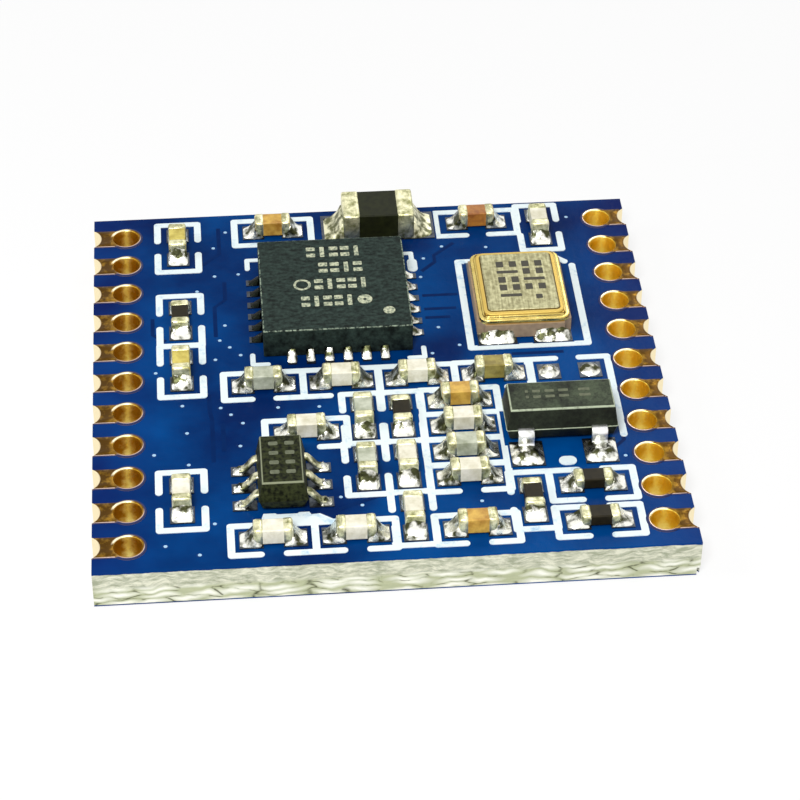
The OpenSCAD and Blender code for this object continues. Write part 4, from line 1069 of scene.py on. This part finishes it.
# ---- Antenna switch
# The smaller moulded pack with three leads on each side, its solder still in small beads.
switch_mid, switch_size = seat("antenna_switch_body")
olive, tree, shader, mm = surface("moulded_olive_black_epoxy")
grain = add(tree, "ShaderNodeTexNoise", {"Vector": mm, "Scale": 10.0, "Detail": 5.0})
tone = add(tree, "ShaderNodeMapRange", {0: grain.outputs["Fac"], 1: 0.36, 2: 0.62})
black = add(tree, "ShaderNodeMix", {0: tone.outputs[0], 6: lin("#0b0e06"),
                                    7: lin("#33381f")}, data_type="RGBA")
level = add(tree, "ShaderNodeSeparateXYZ", {0: mm}).outputs["Z"]
# Painted highlight: a pale line along the rounded top edge of the pack.
edge_glint = add(tree, "ShaderNodeMapRange", {0: level, 1: 2.025, 2: 2.045})
flat_top = add(tree, "ShaderNodeMapRange", {0: level, 1: 2.0795, 2: 2.07})
edge_glint = add(tree, "ShaderNodeMath", {0: edge_glint.outputs[0], 1: flat_top.outputs[0]},
           operation="MULTIPLY")
black = add(tree, "ShaderNodeMix", {0: edge_glint.outputs[0], 6: black.outputs[2],
                                    7: lin("#8f9478")}, data_type="RGBA")
bump = add(tree, "ShaderNodeBump", {"Height": grain.outputs["Fac"], "Strength": 0.5,
                                    "Distance": 0.00002})
tree.links.new(black.outputs[2], shader.inputs["Base Color"])
tree.links.new(bump.outputs[0], shader.inputs["Normal"])
shader.inputs["Roughness"].default_value = 0.5
shader.inputs["Specular IOR Level"].default_value = 0.08
store = ([], [])
put(store, stack(1.25, 2.0, 0.05, moulded(0.06, 0.95, 0.1)),
    (switch_mid.x, switch_mid.y, seat_z))
piece("antenna_switch", shape("antenna_switch", *store), olive,
      ["antenna_switch_body"], 40)
# The leads of the switch have kept less of their tin: grey-olive, with bright patches.
dull, tree, shader, mm = surface("dull_tinned_lead")
blot = add(tree, "ShaderNodeTexNoise", {"Vector": mm, "Scale": 5.0, "Detail": 5.0})
tone = add(tree, "ShaderNodeMapRange", {0: blot.outputs["Fac"], 1: 0.42, 2: 0.6})
metal = add(tree, "ShaderNodeMix", {0: tone.outputs[0], 6: lin("#696b48"),
                                    7: lin("#efecca")}, data_type="RGBA")
tree.links.new(metal.outputs[2], shader.inputs["Base Color"])
shader.inputs["Metallic"].default_value = 1.0
shader.inputs["Roughness"].default_value = 0.4

store = ([], [])
for dx in (-0.19, 0.22):
    for k in range(4):
        put(store, stack(0.24, 0.14, 0.04, [(0, 0), (0, mark_t)], 3),
            (switch_mid.x + dx, switch_mid.y - 0.5 + k * 0.36, seat_z + 0.95 - 0.0005))
piece("antenna_switch_marking", shape("antenna_switch_marking", *store), faint,
      [])
# The leads slope all the way from the seam down to a short foot.
splayed = [(0.425, 0.398), (0.62, 0.398), (0.66, 0.386), (0.7, 0.355), (0.78, 0.255),
           (0.87, 0.14), (0.91, 0.095), (0.95, 0.065), (0.99, 0.05), (1.075, 0.05)]
metal_store, wet_store = ([], []), ([], [])
for way in (-1, 1):
    for k in (-1, 0, 1):
        spot = (switch_mid.x, switch_mid.y + k * 0.65, seat_z)
        put(metal_store, bent_strip(splayed, 0.1, 0.24), spot, (1 - way) * math.pi / 2)
        tip = (spot[0] + way * 1.075, spot[1], seat_z)
        put(wet_store, pool(0.15, 0.15, 0.09, 0.13, back=0.14, sag=1.3, steps=(9, 9)), tip,
            (1 - way) * math.pi / 2)
piece("antenna_switch_legs", shape("antenna_switch_legs", *metal_store), dull,
      ["antenna_switch_leads"])
piece("antenna_switch_joints", shape("antenna_switch_joints", *wet_store), solder,
      ["antenna_switch_solder"], 70)

# ---- Power inductor
# A ground block of ferrite, near black, dipped in silver paste and plated at both ends.
inductor_mid, inductor_size = seat("inductor_body")
ferrite, tree, shader, mm = surface("ground_ferrite")
grain = add(tree, "ShaderNodeTexNoise", {"Vector": mm, "Scale": 7.0, "Detail": 6.0})
tone = add(tree, "ShaderNodeMix", {0: grain.outputs["Fac"], 6: lin("#080805"),
                                   7: lin("#2c3016")}, data_type="RGBA")
tree.links.new(tone.outputs[2], shader.inputs["Base Color"])
shader.inputs["Roughness"].default_value = 0.42
shader.inputs["Specular IOR Level"].default_value = 0.12
dress(["inductor_body"], ferrite)

plated, tree, shader, mm = surface("plated_silver_end")
blot = add(tree, "ShaderNodeTexNoise", {"Vector": mm, "Scale": 4.0, "Detail": 6.0,
                                        "Roughness": 0.65})
tone = add(tree, "ShaderNodeMapRange", {0: blot.outputs["Fac"], 1: 0.36, 2: 0.6})
metal = add(tree, "ShaderNodeMix", {0: tone.outputs[0], 6: lin("#8c8d5a"),
                                    7: lin("#f3efc6")}, data_type="RGBA")
bump = add(tree, "ShaderNodeBump", {"Height": blot.outputs["Fac"], "Strength": 0.6,
                                    "Distance": 0.00004})
tree.links.new(metal.outputs[2], shader.inputs["Base Color"])
tree.links.new(bump.outputs[0], shader.inputs["Normal"])
shader.inputs["Metallic"].default_value = 0.85
shader.inputs["Roughness"].default_value = 0.36
cap_store, wet_store = ([], []), ([], [])
for way in (-1, 1):
    put(cap_store, stack(0.48, 1.25, 0.07, rounded(0.85, 0.06)),
        (inductor_mid.x + way * 0.76, inductor_mid.y, seat_z))
    put(wet_store, pool(0.52, 0.6, 0.5, 0.56, back=0.3, sag=2.3),
        (inductor_mid.x + way * 1.0, inductor_mid.y, seat_z), (1 - way) * math.pi / 2)
piece("inductor_caps", shape("inductor_caps", *cap_store), plated,
      ["inductor_ends"])
piece("inductor_joints", shape("inductor_joints", *wet_store), dull,
      ["inductor_solder"], 70)

# ---- Small capacitors and resistors
# Sintered ceramic bars 1.0 by 0.5 mm, dipped at both ends. The capacitors differ in tint
# with the ceramic; the resistors are lower and carry a dark glaze on top.
tints = {
    "yellow": ("#a5902e", "#dccb66"), "cream": ("#d3cdb0", "#f8f4e2"),
    "grey": ("#93997f", "#ccd0bb"), "orange": ("#a4711c", "#dfb550"),
    "brown": ("#7c3d10", "#c08030"), "olive": ("#6d5f1d", "#a89a4a")}
of_tint = ("yellow yellow cream cream grey grey cream cream orange brown grey cream cream "
           "olive orange cream grey cream cream cream cream orange").split()
for tint, (low_tone, high_tone) in tints.items():
    ceramic, tree, shader, mm = surface(tint + "_sintered_ceramic")
    fleck = add(tree, "ShaderNodeTexNoise", {"Vector": mm, "Scale": 3.5, "Detail": 6.0,
                                             "Roughness": 0.6})
    tone = add(tree, "ShaderNodeMapRange", {0: fleck.outputs["Fac"], 1: 0.3, 2: 0.65})
    body = add(tree, "ShaderNodeMix", {0: tone.outputs[0], 6: lin(low_tone),
                                       7: lin(high_tone)}, data_type="RGBA")
    bump = add(tree, "ShaderNodeBump", {"Height": fleck.outputs["Fac"], "Strength": 0.3,
                                        "Distance": 0.00002})
    tree.links.new(body.outputs[2], shader.inputs["Base Color"])
    tree.links.new(bump.outputs[0], shader.inputs["Normal"])
    shader.inputs["Roughness"].default_value = 0.38
    dress([f"capacitor_{k + 1}" for k, t in enumerate(of_tint) if t == tint], ceramic)
glaze, tree, shader, mm = surface("dark_resistor_glaze")
fleck = add(tree, "ShaderNodeTexNoise", {"Vector": mm, "Scale": 6.0, "Detail": 5.0})
tone = add(tree, "ShaderNodeMix", {0: fleck.outputs["Fac"], 6: lin("#0c0a04"),
                                   7: lin("#2e2814")}, data_type="RGBA")
tree.links.new(tone.outputs[2], shader.inputs["Base Color"])
shader.inputs["Roughness"].default_value = 0.4
shader.inputs["Specular IOR Level"].default_value = 0.15
dress([f"resistor_{k}" for k in range(1, 6)], glaze)

# Their ends and joints: the node tree sets a plated end at each place, turned with its part.
ends_tree = bpy.data.node_groups.new("plated_ends", "GeometryNodeTree")
for kind, label, direction in (("NodeSocketGeometry", "Geometry", "INPUT"),
                               ("NodeSocketObject", "End", "INPUT"),
                               ("NodeSocketFloat", "Skew", "INPUT"),
                               ("NodeSocketInt", "Seed", "INPUT"),
                               ("NodeSocketMaterial", "Finish", "INPUT"),
                               ("NodeSocketGeometry", "Geometry", "OUTPUT")):
    ends_tree.interface.new_socket(name=label, in_out=direction, socket_type=kind)
given = add(ends_tree, "NodeGroupInput").outputs
way = add(ends_tree, "GeometryNodeInputNamedAttribute", {"Name": "turn"}, data_type="FLOAT")
less = add(ends_tree, "ShaderNodeMath", {0: given["Skew"], 1: -1.0}, operation="MULTIPLY")
skew = add(ends_tree, "FunctionNodeRandomValue", {2: less.outputs[0], 3: given["Skew"],
                                                  "Seed": given["Seed"]})
turn = add(ends_tree, "ShaderNodeMath", {0: way.outputs[0], 1: skew.outputs[1]})
facing = add(ends_tree, "ShaderNodeCombineXYZ", {2: turn.outputs[0]})
pattern = add(ends_tree, "GeometryNodeObjectInfo", {"Object": given["End"]})
copies = add(ends_tree, "GeometryNodeInstanceOnPoints", {
    "Points": given["Geometry"], "Instance": pattern.outputs["Geometry"],
    "Rotation": facing.outputs[0]})
real = add(ends_tree, "GeometryNodeRealizeInstances", {0: copies.outputs[0]})
dressed = add(ends_tree, "GeometryNodeSetMaterial", {"Geometry": real.outputs[0],
                                                     "Material": given["Finish"]})
add(ends_tree, "NodeGroupOutput", {0: dressed.outputs[0]})

wet_store = ([], [])
for family, count, h in (("capacitor", 22, 0.5), ("resistor", 5, 0.35)):
    spots, turns = [], []
    for k in range(1, count + 1):
        mid, size = seat(f"{family}_{k}")
        flat = 0.0 if size.x > size.y else math.pi / 2
        for way in (0.0, math.pi):
            out = Vector((math.cos(flat + way), math.sin(flat + way), 0))
            spots.append(Vector((mid.x, mid.y, seat_z)) + out * 0.367)
            turns.append(flat + way)
            put(wet_store, pool(0.33, 0.285, 0.25, h * chance.uniform(0.5, 0.8), back=0.22),
                Vector((mid.x, mid.y, seat_z)) + out * 0.5, flat + way)
    start = shape("spots", spots, [])
    start.attributes.new("turn", "FLOAT", "POINT").data.foreach_set("value", turns)
    end = bpy.data.objects.new("one_end", shape("one_end", *stack(
        0.265, 0.5, 0.075, rounded(h, 0.07))))
    scene.collection.objects.link(end)
    caps = grown("caps", ends_tree, start, {"End": end, "Skew": 0.02, "Seed": 3,
                                            "Finish": plated})
    bpy.data.objects.remove(end)
    piece(f"{family}_caps", caps, plated, [f"{family}_ends"])
piece("chip_part_joints", shape("chip_part_joints", *wet_store), solder,
      ["chip_part_solder"], 70)
dress(["spare_land_solder"], solder)
